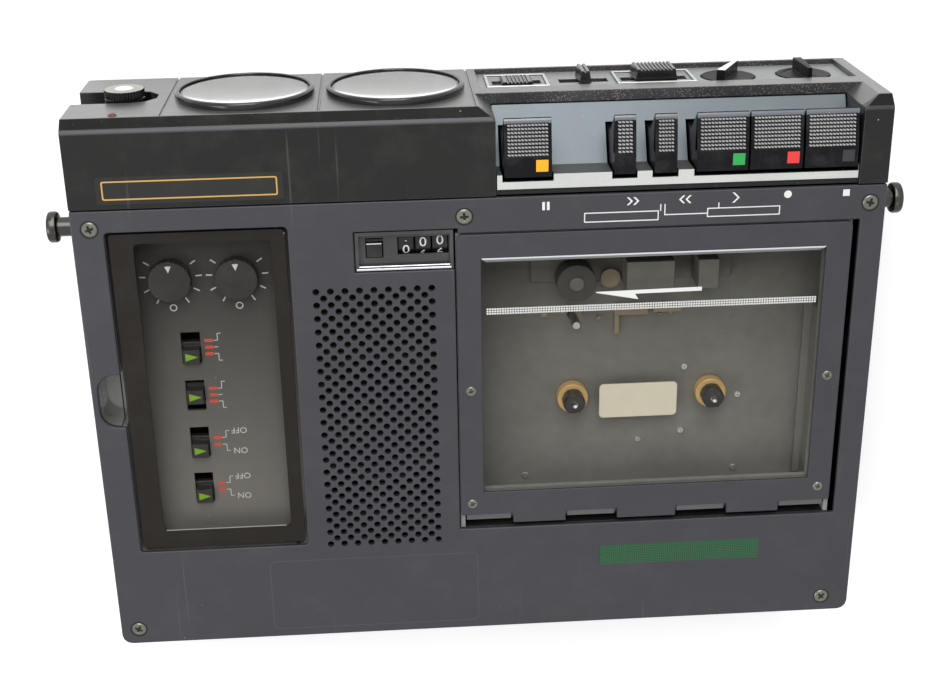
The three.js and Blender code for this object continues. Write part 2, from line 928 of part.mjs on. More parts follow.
function keyBayTrim() {
  const sheet = bay.sheet;
  const outline = [
    [panelBack + fit.gap, -bay.wallDrop],
    [bayWall, -bay.slopeRearDrop],
    [bayWall, -bay.railDrop],
    [-bay.railRear, -bay.railDrop],
    [-bay.railRear, -bay.railDrop - bay.railFlange],
    [-bay.railRear - sheet, -bay.railDrop - bay.railFlange],
    [-bay.railRear - sheet, -bay.railDrop - sheet],
    [bayWall + sheet, -bay.railDrop - sheet],
    [bayWall + sheet, -bay.slopeRearDrop - sheet / 2],
    [panelBack + fit.gap, -bay.wallDrop - sheet],
  ];
  const slotZ = [-bay.wallDrop - past, past];
  const slots = [
    [keys.stop[0] - key.side, keys.play[1] + key.side],
    grown(keys.review, key.side),
    grown(keys.cue, key.side),
    grown(keys.pause, key.side),
  ];
  const slotY = [-key.stemFront - bay.slotGap, -bay.railNotch];
  const cutters = slots.map((x) => block(x, slotY, slotZ));
  return cut(push(outline, "x", bayLeft + fit.gap, bayRight - fit.gap), cutters);
}

// A piano key: flat rear, ribbed slope, rounded nose, a stem through the bay and an arm to the shaft.
function pianoKey(x, inset) {
  const rib = [];
  const run = key.ribFront - key.flatFront;
  for (let count = 0; count < key.ribs; count += 1) {
    const at = (share) => [
      -key.flatFront - (run * (count + share)) / key.ribs,
      -(key.ribRise * (count + share)) / key.ribs,
    ];
    const [grooveY, grooveZ] = at(key.ribCrestShare);
    rib.push(at(0), [grooveY, grooveZ - key.ribDepth]);
  }
  const head = [
    [-key.rearTop, 0],
    ...rib,
    [-key.ribFront, -key.ribRise],
    [-key.noseFront + key.noseRound, -key.noseTop],
    [-key.noseFront, -key.noseMiddle],
    [-key.noseFront + key.noseRound, -key.noseUnder],
    [-key.stemFront, -key.stemTop],
    [-key.stemFront, -key.stemUnder],
    [-key.stemRear, -key.stemUnder],
    [-key.rearTop, -key.armTop],
  ];
  const pivot = [key.pivotY, -key.pivotDrop];
  const arm = [
    [-key.stemRear - fit.weld, -key.armTop],
    [-key.stemRear - fit.weld, -key.armUnder],
    [key.pivotY, -key.pivotDrop - key.pivotRadius],
    [key.pivotY, -key.armTop],
  ];
  const armX = grown(x, -key.armSide);
  const solid = joined([
    push(head, "x", x[0], x[1]),
    push(arm, "x", armX[0], armX[1]),
    rod("x", pivot, key.pivotRadius, armX[0], armX[1], sides.coarse),
  ]);
  const cutters = [rod("x", pivot, keyShaft.radius + fit.slip, x[0] - past, x[1] + past, sides.coarse)];
  if (inset) {
    const corner = x[0] + key.insetSide;
    cutters.push(
      block(
        [corner, corner + key.insetSize],
        [-key.rearTop - key.insetRear - key.insetSize, -key.rearTop - key.insetRear],
        [-key.insetDepth, past],
      ),
    );
  }
  return cut(solid, cutters);
}

place("front_bar", frontBar(), finishes.black);
place("key_bay_trim", keyBayTrim(), finishes.baySheet);
for (const [name, x] of Object.entries(keys)) {
  const inset = name !== "cue" && name !== "review";
  place(name + "_key", pianoKey(x, inset), finishes.keyBlack);
}
place(
  "key_shaft",
  rod(
    "x",
    [key.pivotY, -key.pivotDrop],
    keyShaft.radius,
    innerLeft + keyShaft.endInset,
    bayRight + bay.endWall,
    sides.coarse,
  ),
  finishes.steel,
);

// Front panel, with the cup of the recording level knobs moulded behind it
function frontPanel() {
  const face = block([left, right], [front, panelBack], [bottom, panelTop]);
  const cup = levelSlot(levelKnob.cupWall, panelBack - fit.weld, panelBack + levelKnob.cupDepth);
  const trimmed = cup.subtract(
    block([right, right + 2 * past], [front, panelBack + levelKnob.cupDepth + past], [bottom, 0]),
  );
  const grooves = [0, 1, 2].map((count) =>
    block(
      around(right - meterField.rightMargin - count * meterField.width, panel.grooveWidth / 2),
      [front - past, front + panel.grooveDepth],
      [bottom - past, past],
    ),
  );
  return cut(joined([face, trimmed]), [
    levelSlot(0, front - past, panelBack + levelKnob.cupDepth - levelKnob.cupWall),
    block([bayLeft, bayRight], [front - past, panelBack + past], [-bay.wallDrop, past]),
    ...baySplays(),
    block(
      [recessLeft, recessRight],
      [front - past, panelBack + past],
      [bottom + recess.bottomRim, -recess.top],
    ),
    ...meterXs.map(
      (x) => rod("y", [x, meterZ], meter.holeRadius, front - past, panelBack + past, sides.fine),
    ),
    ...grooves,
    rod("y", levelCentre, levelKnob.outerShaftRadius + fit.slip, front, rear, sides.coarse),
  ]);
}

const slides = {
  right: {
    x: recessRight - slider.rightOffset,
    knob: slider.rightKnob,
    slot: slider.rightSlot,
    height: slider.rightHeight,
  },
  middle: {
    x: recessRight - slider.middleOffset,
    knob: slider.middleKnob,
    slot: slider.middleSlot,
    height: slider.middleHeight,
  },
  left: {
    x: recessRight - slider.leftOffset,
    knob: slider.leftKnob,
    slot: slider.leftSlot,
    height: slider.leftHeight,
  },
};
const dialXs = { right: recessLeft + dial.rightOffset, left: recessLeft + dial.leftOffset };

function controlTray() {
  const z = [bottom + recess.bottomRim, -recess.top];
  const plateZ = [floorTop + fit.gap, z[1] + recess.flange];
  const frames = [slides.right, slides.left].map(({ x, slot }) => {
    const inner = around(x, slot / 2 + slider.frameGap);
    const innerZ = around(recessMiddle, slider.frameHeight / 2 - slider.frameWidth);
    const y = [recessFloor - slider.frameProud, recessFloor + fit.weld];
    return block(grown(inner, slider.frameWidth), y, grown(innerZ, slider.frameWidth)).subtract(
      block(inner, grown(y, past), innerZ),
    );
  });
  const solid = joined([
    block([recessLeft, recessRight], [recessFloor, panelBack], z),
    block(grown([recessLeft, recessRight], recess.flange), [panelBack, trayBack], plateZ),
    ...frames,
  ]);
  return cut(solid, [
    ...Object.values(slides).map(({ x, slot }) =>
      block(
        around(x, slot / 2),
        [front - past, trayBack + past],
        around(recessMiddle, slider.slotHeight / 2),
      ),
    ),
    ...Object.values(dialXs).map((x) =>
      rod("y", [x, dialZ], dial.radius, front - past, trayBack + past),
    ),
  ]);
}

// A slide control: ribbed knob in front, stem through the slot, carriage behind.
function slideControl({ x, knob, height }, proud) {
  const y = [front - proud, recessFloor - slider.lift];
  const tall = height / 2;
  const outline = [
    [x - knob / 2, y[1]],
    [x - knob / 2 + slider.taper / 2, y[0]],
    [x + knob / 2 - slider.taper / 2, y[0]],
    [x + knob / 2, y[1]],
  ];
  const head = push(outline, "z", recessMiddle - tall, recessMiddle + tall);
  const grips = [];
  const count = Math.floor((knob - 2 * slider.taper) / slider.gripPitch);
  for (let step = 0; step < count; step += 1) {
    const middle = x + (step - (count - 1) / 2) * slider.gripPitch;
    grips.push(
      block(
        around(middle, slider.gripPitch / 4),
        [y[0] - past, y[0] + slider.gripDepth],
        around(recessMiddle, tall + past),
      ),
    );
  }
  const stemHalf = (knob * slider.stemShare) / 2;
  const behind = trayBack + slider.lift;
  const stemZ = around(recessMiddle, slider.slotHeight / 2 - fit.slip);
  return joined([
    cut(head, grips),
    block(around(x, stemHalf), [y[1] - fit.weld, behind + fit.weld], stemZ),
    block(
      around(x, stemHalf + slider.carriageLip),
      [behind, behind + slider.carriageDepth],
      grown(stemZ, slider.carriageLip),
    ),
  ]);
}

// A rotary dial set in the tray, with a finger bar across it.
function rotaryDial(x, angle) {
  const disc = rod(
    "y",
    [x, dialZ],
    dial.radius - fit.slip,
    recessFloor - dial.faceLift,
    trayBack + fit.slip,
  );
  const behind = trayBack + fit.slip;
  const flange = rod("y", [x, dialZ], dial.radius + dial.flange, behind, behind + dial.flangeDepth);
  const reach = dial.radius - dial.barInset;
  const half = dial.barWidth / 2;
  const along = [Math.sin(angle), Math.cos(angle)];
  const across = [along[1], -along[0]];
  const corner = (u, v) => [x + u * along[0] + v * across[0], dialZ + u * along[1] + v * across[1]];
  const outline = [
    corner(-reach, -half),
    corner(reach, -half / 2),
    corner(reach, half / 2),
    corner(-reach, half),
  ];
  const grip = push(outline, "y", recessFloor - dial.barProud, recessFloor);
  return joined([disc, flange, grip]);
}

const degree = turn / 360;
place("front_panel", frontPanel(), finishes.black);
place("control_tray", controlTray(), finishes.baySheet);
place("slide_knob_right", slideControl(slides.right, -slider.rightSunk), finishes.keyBlack);
place("slide_knob_middle", slideControl(slides.middle, slider.proud), finishes.keyBlack);
place("slide_knob_left", slideControl(slides.left, slider.proud), finishes.keyBlack);
place("dial_right", rotaryDial(dialXs.right, -dial.restTurn * degree), finishes.keyBlack);
place("dial_left", rotaryDial(dialXs.left, 0), finishes.keyBlack);

// Level meters
const meterRim = front - meter.proud;
const meterFace = meterRim + meter.faceDepth;

function meterBody(x) {
  const seat = meterRim + meter.seatDepth;
  const back = meterRim + meter.bodyDepth;
  const profile = [
    [0, meterFace],
    [meter.boreRadius, meterFace],
    [meter.boreRadius, seat],
    [meter.seatRadius, seat],
    [meter.seatRadius, meterRim],
    [meter.radius - meter.rimBevel, meterRim],
    [meter.radius, meterRim + meter.rimBevel],
    [meter.radius, front],
    [meter.bodyRadius, front],
    [meter.bodyRadius, back],
    [meter.coreRadius, back],
    [meter.coreRadius, meterRim + meter.coreDepth],
    [0, meterRim + meter.coreDepth],
  ];
  return turned(profile, "y", [x, meterZ], sides.fine);
}

function meterGlass(x) {
  const seat = meterRim + meter.seatDepth;
  const edge = seat - meter.glassThickness;
  const profile = [
    [0, seat],
    [meter.glassRadius, seat],
    [meter.glassRadius, edge],
    [meter.glassRadius / 2, edge - (meter.glassDome * 3) / 4],
    [0, edge - meter.glassDome],
  ];
  return turned(profile, "y", [x, meterZ], sides.fine);
}

function meterNeedle(x) {
  const y = meterFace - needle.lift - needle.thickness;
  const pivot = [x, meterZ - needle.pivotDrop];
  const angle = -needle.restAngle * degree;
  const along = [Math.sin(angle), Math.cos(angle)];
  const corner = (u, v) => [pivot[0] + u * along[0] + v * along[1], pivot[1] + u * along[1] - v * along[0]];
  const half = needle.width / 2;
  const tip = needle.length;
  const blade = [corner(0, -half), corner(0, half), corner(tip, half / 2), corner(tip, -half / 2)];
  return joined([
    push(blade, "y", y, y + needle.thickness),
    rod("y", pivot, needle.hubRadius, y, y + needle.thickness, sides.coarse),
  ]);
}

["right", "left"].forEach((side, count) => {
  place("meter_body_" + side, meterBody(meterXs[count]), finishes.meterBody);
  place("meter_glass_" + side, meterGlass(meterXs[count]), finishes.glass);
  place("meter_needle_" + side, meterNeedle(meterXs[count]), finishes.darkSteel);
});

// Recording level knobs, one inside the other
function ringed(radius, from, to, boreRadius) {
  const step = (to - from) / levelKnob.ringCount;
  const groove = step / 4;
  const profile = [[boreRadius, from], [radius, from]];
  for (let count = 1; count < levelKnob.ringCount; count += 1) {
    const y = from + count * step;
    profile.push([radius, y - groove], [radius - levelKnob.ringDepth, y], [radius, y + groove]);
  }
  profile.push([radius, to], [boreRadius, to]);
  return profile;
}

const levelFront = front - levelKnob.proud;
const levelSplit = levelFront + levelKnob.innerLength;
const outerFront = levelSplit + fit.gap;
const outerRear = outerFront + levelKnob.outerLength;
const cupBack = panelBack + levelKnob.cupDepth;

function innerLevelKnob() {
  const profile = ringed(levelKnob.innerRadius, levelFront, levelSplit, 0);
  profile.pop();
  profile.push([levelKnob.shaftRadius, levelSplit]);
  profile.push(
    [levelKnob.shaftRadius, cupBack + levelKnob.shaftReach],
    [0, cupBack + levelKnob.shaftReach],
  );
  return turned(profile, "y", levelCentre);
}

function outerLevelKnob() {
  const bore = levelKnob.shaftRadius + fit.slip;
  const profile = ringed(levelKnob.outerRadius, outerFront, outerRear, bore);
  profile.pop();
  profile.push([levelKnob.outerShaftRadius, outerRear], [levelKnob.outerShaftRadius, cupBack + fit.gap]);
  profile.push([bore, cupBack + fit.gap], profile[0]);
  return turned(profile, "y", levelCentre);
}

place("level_knob_inner", innerLevelKnob(), finishes.keyBlack);
place("level_knob_outer", outerLevelKnob(), finishes.keyBlack);

// Cassette door
const notchReach = doorWidth / 2 - doorHinge.endInset;
const notchMiddles = [-1, 1].flatMap((side) =>
  [doorHinge.innerShare, 1].map((share) => doorCentre + side * share * notchReach),
);
const notchRanges = notchMiddles.map((x) => around(x, doorHinge.notchLength / 2));

const hingeNotches = () =>
  notchRanges.map(
    (x) => block(x, [doorRear - doorHinge.notchDepth, doorRear + past], [doorUnder - past, past]),
  );

function doorCover() {
  const z = [-door.coverThickness, 0];
  return cut(roundedBlock([doorLeft, doorRight], [doorFront, doorRear], z, door.cornerRadius), [
    block([windowLeft, windowRight], [windowFront, windowRear], grown(z, past)),
    ...hingeNotches(),
  ]);
}

const frameX = [doorLeft + door.overhang, doorRight - door.overhang];
const frameY = [doorFront + door.overhang, doorRear];
const paneTop = -door.coverThickness - doorWindow.recess;
const paneX = grown([windowLeft, windowRight], doorWindow.ledge);
const paneY = grown([windowFront, windowRear], doorWindow.ledge);
const cassetteX = around(doorCentre, cassette.width / 2 + holder.clearance);
const cassetteUnder = cassetteTop - cassette.thickness;

function doorFrame() {
  const sheet = block(frameX, frameY, [doorUnder, -door.coverThickness]);
  const rails = [-1, 1].map((side) => {
    const inner = side < 0 ? cassetteX[0] : cassetteX[1];
    const wall = [inner, inner + side * holder.wall].sort((a, b) => a - b);
    const lip = [inner - side * holder.lip, inner + side * holder.wall].sort((a, b) => a - b);
    const y = [headEdge + holder.frontInset, cassetteRear];
    const under = cassetteUnder - holder.clearance;
    return joined([
      block(wall, y, [under - holder.lipThickness, doorUnder + fit.weld]),
      block(lip, y, [under - holder.lipThickness, under]),
    ]);
  });
  return cut(joined([sheet, ...rails]), [
    block(grown(paneX, fit.gap), grown(paneY, fit.gap), [paneTop - doorWindow.thickness, past]),
    block([windowLeft, windowRight], [windowFront, windowRear], [doorUnder - past, past]),
    ...hingeNotches(),
    rod(
      "x",
      [hingeAxis.y, hingeAxis.z],
      doorHinge.rodRadius + fit.slip,
      doorLeft - past,
      doorRight + past,
      sides.coarse,
    ),
  ]);
}

function doorHingeRod() {
  const y = around(hingeAxis.y, doorHinge.lugHalfDepth);
  const shelf = -deck.shelfDepth;
  const lugs = notchRanges.map(([start, end]) => {
    const x = [
      Math.max(start + doorHinge.footInset, frameX[0]),
      Math.min(end - doorHinge.footInset, frameX[1]),
    ];
    return block(x, y, [shelf, hingeAxis.z + doorHinge.lugTop]);
  });
  const ends = [Math.min(...notchMiddles), Math.max(...notchMiddles)];
  return joined(
    [rod("x", [hingeAxis.y, hingeAxis.z], doorHinge.rodRadius, ends[0], ends[1], sides.coarse), ...lugs],
  );
}

place("door_cover", doorCover(), finishes.slate);
place("door_frame", doorFrame(), finishes.black);
place("door_window", block(paneX, paneY, [paneTop - doorWindow.thickness, paneTop]), finishes.smoke);
place("door_hinge", doorHingeRod(), finishes.steel);

// Deck under the door
const spindleXs = {
  takeup: doorCentre + cassette.reelSpacing / 2,
  supply: doorCentre - cassette.reelSpacing / 2,
};

function deckChassis() {
  const innerX = grown(frameX, deck.rimGap);
  const innerFront = frameY[0] - deck.rimGap;
  const rearWall = doorRear + door.rearSeam;
  const coverUnder = -door.coverThickness - deck.coverGap;
  const outerX = grown(innerX, deck.wall);
  const outerFront = innerFront - deck.wall;
  const shell = joined([
    block(outerX, [outerFront, pocketRear + deck.wall], [deckUnder, coverUnder]),
    block(outerX, [pocketRear, rearWall + deck.wall], [-deck.shelfDepth - deck.wall, coverUnder]),
    block(outerX, [rearWall, rearWall + deck.wall], [-deck.shelfDepth, underPlate]),
  ]);
  const holes = Object.values(spindleXs).map((x) =>
    rod("z", [x, reelY], spindle.shaftRadius + fit.slip, deckUnder - past, 0, sides.coarse),
  );
  return cut(shell, [
    block(innerX, [innerFront, pocketRear], [deckFloor, past]),
    block(innerX, [innerFront, rearWall], [-deck.shelfDepth, past]),
    block(
      [outerX[0] - past, outerX[1] + past],
      [rearWall, rearWall + deck.wall + past],
      [underPlate, past],
    ),
    rod("z", [capstanX, capstanY], capstan.radius + fit.slip, deckUnder - past, 0, sides.coarse),
    ...holes,
  ]);
}

function reelSpindle(x) {
  const seat = deckFloor + spindle.lift;
  const base = seat + spindle.baseHeight;
  const cap = base + spindle.capHeight;
  const pulleyTop = deckUnder - spindle.pulleyDrop;
  const pulleyUnder = pulleyTop - spindle.pulleyHeight;
  const profile = [
    [0, pulleyUnder],
    [spindle.pulleyRadius, pulleyUnder],
    [spindle.pulleyRadius, pulleyTop],
    [spindle.shaftRadius, pulleyTop],
    [spindle.shaftRadius, seat],
    [spindle.baseRadius, seat],
    [spindle.baseRadius, base],
    [spindle.capRadius, base],
    [spindle.capRadius, cap],
    [spindle.tipRadius, cap + spindle.tipHeight],
    [0, cap + spindle.tipHeight],
  ];
  const core = turned(profile, "z", [x, reelY]);
  const fins = Array.from({ length: spindle.fins }, (_, count) => {
    const angle = (turn * count) / spindle.fins;
    const along = [Math.cos(angle), Math.sin(angle)];
    const half = spindle.finWidth / 2;
    const corner = (u, v) => [x + u * along[0] - v * along[1], reelY + u * along[1] + v * along[0]];
    const reach = spindle.capRadius + spindle.finReach;
    const start = spindle.capRadius - spindle.finReach;
    return push(
      [corner(start, -half), corner(reach, -half), corner(reach, half), corner(start, half)],
      "z",
      base - fit.weld,
      cap,
    );
  });
  return joined([core, ...fins]);
}

place("deck_chassis", deckChassis(), finishes.deckBlack);
place("takeup_spindle", reelSpindle(spindleXs.takeup), finishes.copper);
place("supply_spindle", reelSpindle(spindleXs.supply), finishes.copper);

// Heads on their sliding plate, pinch roller, capstan with flywheel, motor and belt
const headPlateZ = [deckFloor + fit.gap, deckFloor + fit.gap + headPlate.thickness];
const headPlateRear = headEdge - headPlate.rearInset;

function headAssembly() {
  const y = [headPlateRear - headPlate.depth, headPlateRear];
  const sheet = block([doorCentre - headPlate.leftReach, doorCentre + headPlate.rightReach], y, headPlateZ);
  const top = headPlateZ[1];
  const headY = [headPlateRear - headPlate.headDepth, headPlateRear];
  const headOutline = [
    [headY[0], top - fit.weld],
    [headY[1], top - fit.weld],
    [headY[1], top + headPlate.headHeight],
    [headY[0], top + headPlate.headHeight],
  ];
  const head = (x, width) => push(headOutline, "x", x - width / 2, x + width / 2);
  const pinTop = top + fit.gap + pinch.height + fit.gap;
  return joined([
    sheet,
    head(doorCentre, headPlate.headWidth),
    head(doorCentre - headPlate.eraseOffset, headPlate.eraseWidth),
    rod("z", [capstanX, pinchY], pinch.pinRadius, top - fit.weld, pinTop + fit.weld, sides.coarse),
    rod("z", [capstanX, pinchY], pinch.pinHead, pinTop, pinTop + fit.gap, sides.coarse),
  ]);
}

function pinchRoller() {
  const z = [headPlateZ[1] + fit.gap, headPlateZ[1] + fit.gap + pinch.height];
  const bore = rod(
    "z",
    [capstanX, pinchY],
    pinch.pinRadius + fit.slip,
    z[0] - past,
    z[1] + past,
    sides.coarse,
  );
  return rod("z", [capstanX, pinchY], pinch.radius, z[0], z[1], sides.round).subtract(bore);
}

function capstanFlywheel() {
  const profile = [
    [0, flywheelUnder],
    [capstan.flywheelRadius, flywheelUnder],
    [capstan.flywheelRadius, flywheelTop],
    [capstan.radius, flywheelTop],
    [capstan.radius, -capstan.top],
    [0, -capstan.top],
  ];
  return turned(profile, "z", [capstanX, capstanY], sides.fine);
}

const pulleyMiddle = (flywheelTop + flywheelUnder) / 2;
const pulleyZ = around(pulleyMiddle, motor.pulleyHeight / 2);
const motorTop = pulleyZ[0] - fit.gap;

function motorPulley() {
  return rod("z", [motorX, motorY], motor.pulleyRadius, pulleyZ[0], pulleyZ[1]);
}

// A flat belt round the pulley and the flywheel: straight runs between two arcs.
function driveBelt() {
  const dx = capstanX - motorX;
  const dy = capstanY - motorY;
  const distance = Math.hypot(dx, dy);
  const heading = Math.atan2(dy, dx);
  const loop = (extra) => {
    const big = capstan.flywheelRadius + extra;
    const small = motor.pulleyRadius + extra;
    const lean = Math.acos((big - small) / distance);
    return [
      ...arc(capstanX, capstanY, big, heading - (Math.PI - lean), heading + (Math.PI - lean), sides.round),
      ...arc(
        motorX,
        motorY,
        small,
        heading + (Math.PI - lean),
        heading + (Math.PI + lean),
        sides.coarse / 2,
      ),
    ];
  };
  const z = around(pulleyMiddle, belt.width / 2);
  return push(loop(fit.gap + belt.thickness), "z", z[0], z[1]).subtract(
    push(loop(fit.gap), "z", z[0] - past, z[1] + past),
  );
}

function motorBody() {
  const profile = [
    [0, floorTop],
    [motor.radius, floorTop],
    [motor.radius, motorTop - fit.gap],
    [0, motorTop - fit.gap],
  ];
  return turned(profile, "z", [motorX, motorY]);
}

place("head_plate", headAssembly(), finishes.steel);
place("pinch_roller", pinchRoller(), finishes.rubber);
place("capstan_flywheel", capstanFlywheel(), finishes.steel);
place("motor", motorBody(), finishes.steel);
place("motor_pulley", motorPulley(), finishes.steel);
place("drive_belt", driveBelt(), finishes.rubber);

// Smoked lid, control tray, trim knobs and slide switches
function smokedLid() {
  const top = [
    [lidLeft, -lid.thickness],
    [lidLeft, -lid.chamfer],
    [lidLeft + lid.chamfer, 0],
    [lidRight, 0],
    [lidRight, -lid.thickness],
  ];
  const z = [-lid.thickness - lid.rimDrop, -lid.thickness + fit.weld];
  const rim = roundedBlock([lidLeft, lidRight], [lidFront, lidRear], z, lid.cornerRadius).subtract(
    block(
      grown([lidLeft, lidRight], -lid.rimWidth),
      grown([lidFront, lidRear], -lid.rimWidth),
      grown(z, past),
    ),
  );
  const outline = roundedBlock(
    [lidLeft, lidRight],
    [lidFront, lidRear],
    [-lid.thickness, past],
    lid.cornerRadius,
  );
  const sheet = push(top, "y", lidFront, lidRear).intersect(outline);
  const pins = [
    [lidFront - lid.pinReach - lid.seam, lidFront + lid.rimWidth / 2],
    [lidRear - lid.rimWidth / 2, lidRear + lid.pinReach + lid.seam],
  ].map((y) => rod("y", [lidHinge.x, lidHinge.z], lid.pinRadius, y[0], y[1], sides.coarse));
  return joined([sheet, rim, ...pins]);
}

const knobXs = {
  pitch: lidLeft + trimKnob.firstOffset,
  bias: lidLeft + trimKnob.firstOffset + trimKnob.pitch,
};
const knobY = lidFront + trimKnob.frontOffset;
const switchX = lidLeft + trimSwitch.offset;
const switchYs = [0, 1, 2, 3].map((count) => lidFront + trimSwitch.frontOffset + count * trimSwitch.pitch);

function controlBoxUnderLid() {
  const x = grown(lidOpening.x, lidTray.wall);
  const y = grown(lidOpening.y, lidTray.wall + fit.gap);
  const shell = block(x, y, [trayFloor - lidTray.floor, underPlate]);
  return cut(shell, [
    block(lidOpening.x, grown(lidOpening.y, fit.gap), [trayFloor, past]),
    fingerNotch(underPlate - notch.depth, past),
    rod("y", [lidHinge.x, lidHinge.z], lid.pinRadius + fit.slip, y[0] - past, y[1] + past, sides.coarse),
    ...Object.values(knobXs).map((knobX) =>
      rod(
        "z",
        [knobX, knobY],
        trimKnob.shaftRadius + fit.slip,
        trayFloor - lidTray.floor - past,
        0,
        sides.coarse,
      ),
    ),
    ...switchYs.map((switchY) =>
      block(
        around(switchX, trimSwitch.slotWidth / 2),
        around(switchY, trimSwitch.slotLength / 2),
        [trayFloor - lidTray.floor - past, 0],
      ),
    ),
  ]);
}

// A knurled trim knob with a pointer cut at its front edge.
function smallKnob(x) {
  const base = trayFloor + trimKnob.lift;
  const outline = Array.from({ length: 2 * trimKnob.gripCount }, (_, count) => {
    const angle = (turn * count) / (2 * trimKnob.gripCount);
    const radius = trimKnob.radius - (count % 2) * trimKnob.gripDepth;
    return [x + radius * Math.cos(angle), knobY + radius * Math.sin(angle)];
  });
  const shaft = rod(
    "z",
    [x, knobY],
    trimKnob.shaftRadius,
    base - trimKnob.lift - trimKnob.shaftDrop,
    base + fit.weld,
    sides.coarse,
  );
  const pointer = block(
    around(x, trimKnob.pointerWidth / 2),
    [knobY - trimKnob.radius - past, knobY - trimKnob.radius / 2],
    [base + trimKnob.height - trimKnob.pointerDepth, base + trimKnob.height + past],
  );
  return joined([push(outline, "z", base, base + trimKnob.height), shaft]).subtract(pointer);
}

function slideSwitch(y) {
  const halfX = trimSwitch.slotWidth / 2 - fit.slip;
  const halfY = trimSwitch.knobLength / 2;
  const under = trayFloor - lidTray.floor - fit.gap;
  return joined([
    block(around(switchX, halfX), around(y, halfY), [under - fit.weld, trayFloor + trimSwitch.knobLift]),
    block(
      around(switchX, halfX + trimSwitch.carriageLip),
      around(y, trimSwitch.slotLength / 2 + trimSwitch.carriageLip - trimSwitch.travel),
      [under - trimSwitch.carriageDrop, under],
    ),
  ]);
}

// Each switch stands one travel behind its middle, but the second stands in its middle.
const switchRests = [1, 0, 1, 1];
place("smoked_lid", smokedLid(), finishes.lidSmoke);
place("lid_tray", controlBoxUnderLid(), finishes.deckBlack);
place("bias_knob", smallKnob(knobXs.bias), finishes.keyBlack);
place("pitch_knob", smallKnob(knobXs.pitch), finishes.keyBlack);
["noise_switch", "tape_switch", "filter_switch", "memory_switch"].forEach((name, count) => {
  place(name, slideSwitch(switchYs[count] + switchRests[count] * trimSwitch.travel), finishes.keyBlack);
});

// Counter and its reset button
const wheelXs = [0, 1, 2].map(
  (count) => counterLeft + counter.windowLeft + counter.windowLength / 2 + (count - 1) * counter.wheelPitch,
);

function counterHousing() {
  const dishZ = [-counter.dish - counter.sheet, -counter.rim];
  const half = (counter.wheels * counter.wheelPitch) / 2 + counter.clearance;
  const boxX = around(wheelXs[1], half);
  const boxY = around(wheelY, counter.wheelRadius + counter.clearance);
  const boxZ = [-counter.dish - counter.sheet - counter.boxDepth, -counter.dish - fit.weld];
  const outer = block(
    [Math.max(boxX[0] - counter.sheet, counterLeft), boxX[1] + counter.sheet],
    grown(boxY, counter.sheet),
    boxZ,
  );
  const hollow = block(boxX, boxY, [boxZ[0] - past, -counter.dish - counter.sheet]);
  const x = [counterLeft + counter.windowLeft, counterLeft + counter.windowLeft + counter.windowLength];
  const y = [counterFront + counter.windowFront, counterFront + counter.windowFront + counter.windowDepth];
  const resetX = counterLeft + resetButton.leftOffset;
  const resetY = counterFront + resetButton.frontOffset;
  const shell = joined([block([counterLeft, counterRight], [counterFront, counterRear], dishZ), outer]);
  const hollowed = cut(shell, [
    block(
      grown([counterLeft, counterRight], -counter.border),
      grown([counterFront, counterRear], -counter.border),
      [-counter.dish, past],
    ),
    hollow,
    block(x, y, [-counter.dish - counter.sheet - past, past]),
    block(
      [resetX - fit.slip, resetX + resetButton.width + fit.slip],
      [resetY - resetButton.travel, resetY + resetButton.depth + fit.slip],
      [-counter.dish - counter.sheet - past, past],
    ),
  ]);
  const axle = rod(
    "x",
    [wheelY, -counter.wheelDrop],
    counter.axleRadius,
    boxX[0] - counter.sheet / 2,
    boxX[1] + counter.sheet / 2,
    sides.coarse,
  );
  return joined([hollowed, axle]);
}

function counterWheel(x) {
  const centre = [wheelY, -counter.wheelDrop];
  const ends = around(x, counter.wheelWidth / 2);
  return rod("x", centre, counter.wheelRadius, ends[0], ends[1], sides.wheel).subtract(
    rod("x", centre, counter.axleRadius + fit.slip, ends[0] - past, ends[1] + past, sides.coarse),
  );
}

function resetPress() {
  const x = [
    counterLeft + resetButton.leftOffset,
    counterLeft + resetButton.leftOffset + resetButton.width,
  ];
  const y = [
    counterFront + resetButton.frontOffset,
    counterFront + resetButton.frontOffset + resetButton.depth,
  ];
  const top = -resetButton.top;
  const lipTop = -counter.dish - counter.sheet - fit.gap;
  return joined([
    block(x, y, [top - resetButton.height, top]),
    block(grown(x, resetButton.lip), grown(y, resetButton.lip), [lipTop - resetButton.lip, lipTop]),
  ]);
}

place("counter_housing", counterHousing(), finishes.deckBlack);
["hundreds", "tens", "units"].forEach((name, count) => {
  place("counter_wheel_" + name, counterWheel(wheelXs[count]), finishes.keyBlack);
});
place("reset_button", resetPress(), finishes.keyBlack);

// Speaker, circuit board, sockets and strap studs
function loudspeaker() {
  const top = underPlate - speaker.top;
  const profile = [
    [0, top - speaker.coneDepth + speaker.capRise],
    [speaker.coneRadius, top - speaker.coneDepth],
    [speaker.radius - speaker.rim, top - speaker.flange],
    [speaker.radius - speaker.rim, top],
    [speaker.radius, top],
    [speaker.radius, top - speaker.flange],
    [speaker.magnetRadius + speaker.wall, top - speaker.backDepth],
    [speaker.magnetRadius, top - speaker.backDepth],
    [speaker.magnetRadius, top - speaker.backDepth - speaker.magnetDepth],
    [0, top - speaker.backDepth - speaker.magnetDepth],
  ];
  return turned(profile, "z", [grilleCentre, (grilleY[0] + grilleY[1]) / 2], sides.fine);
}

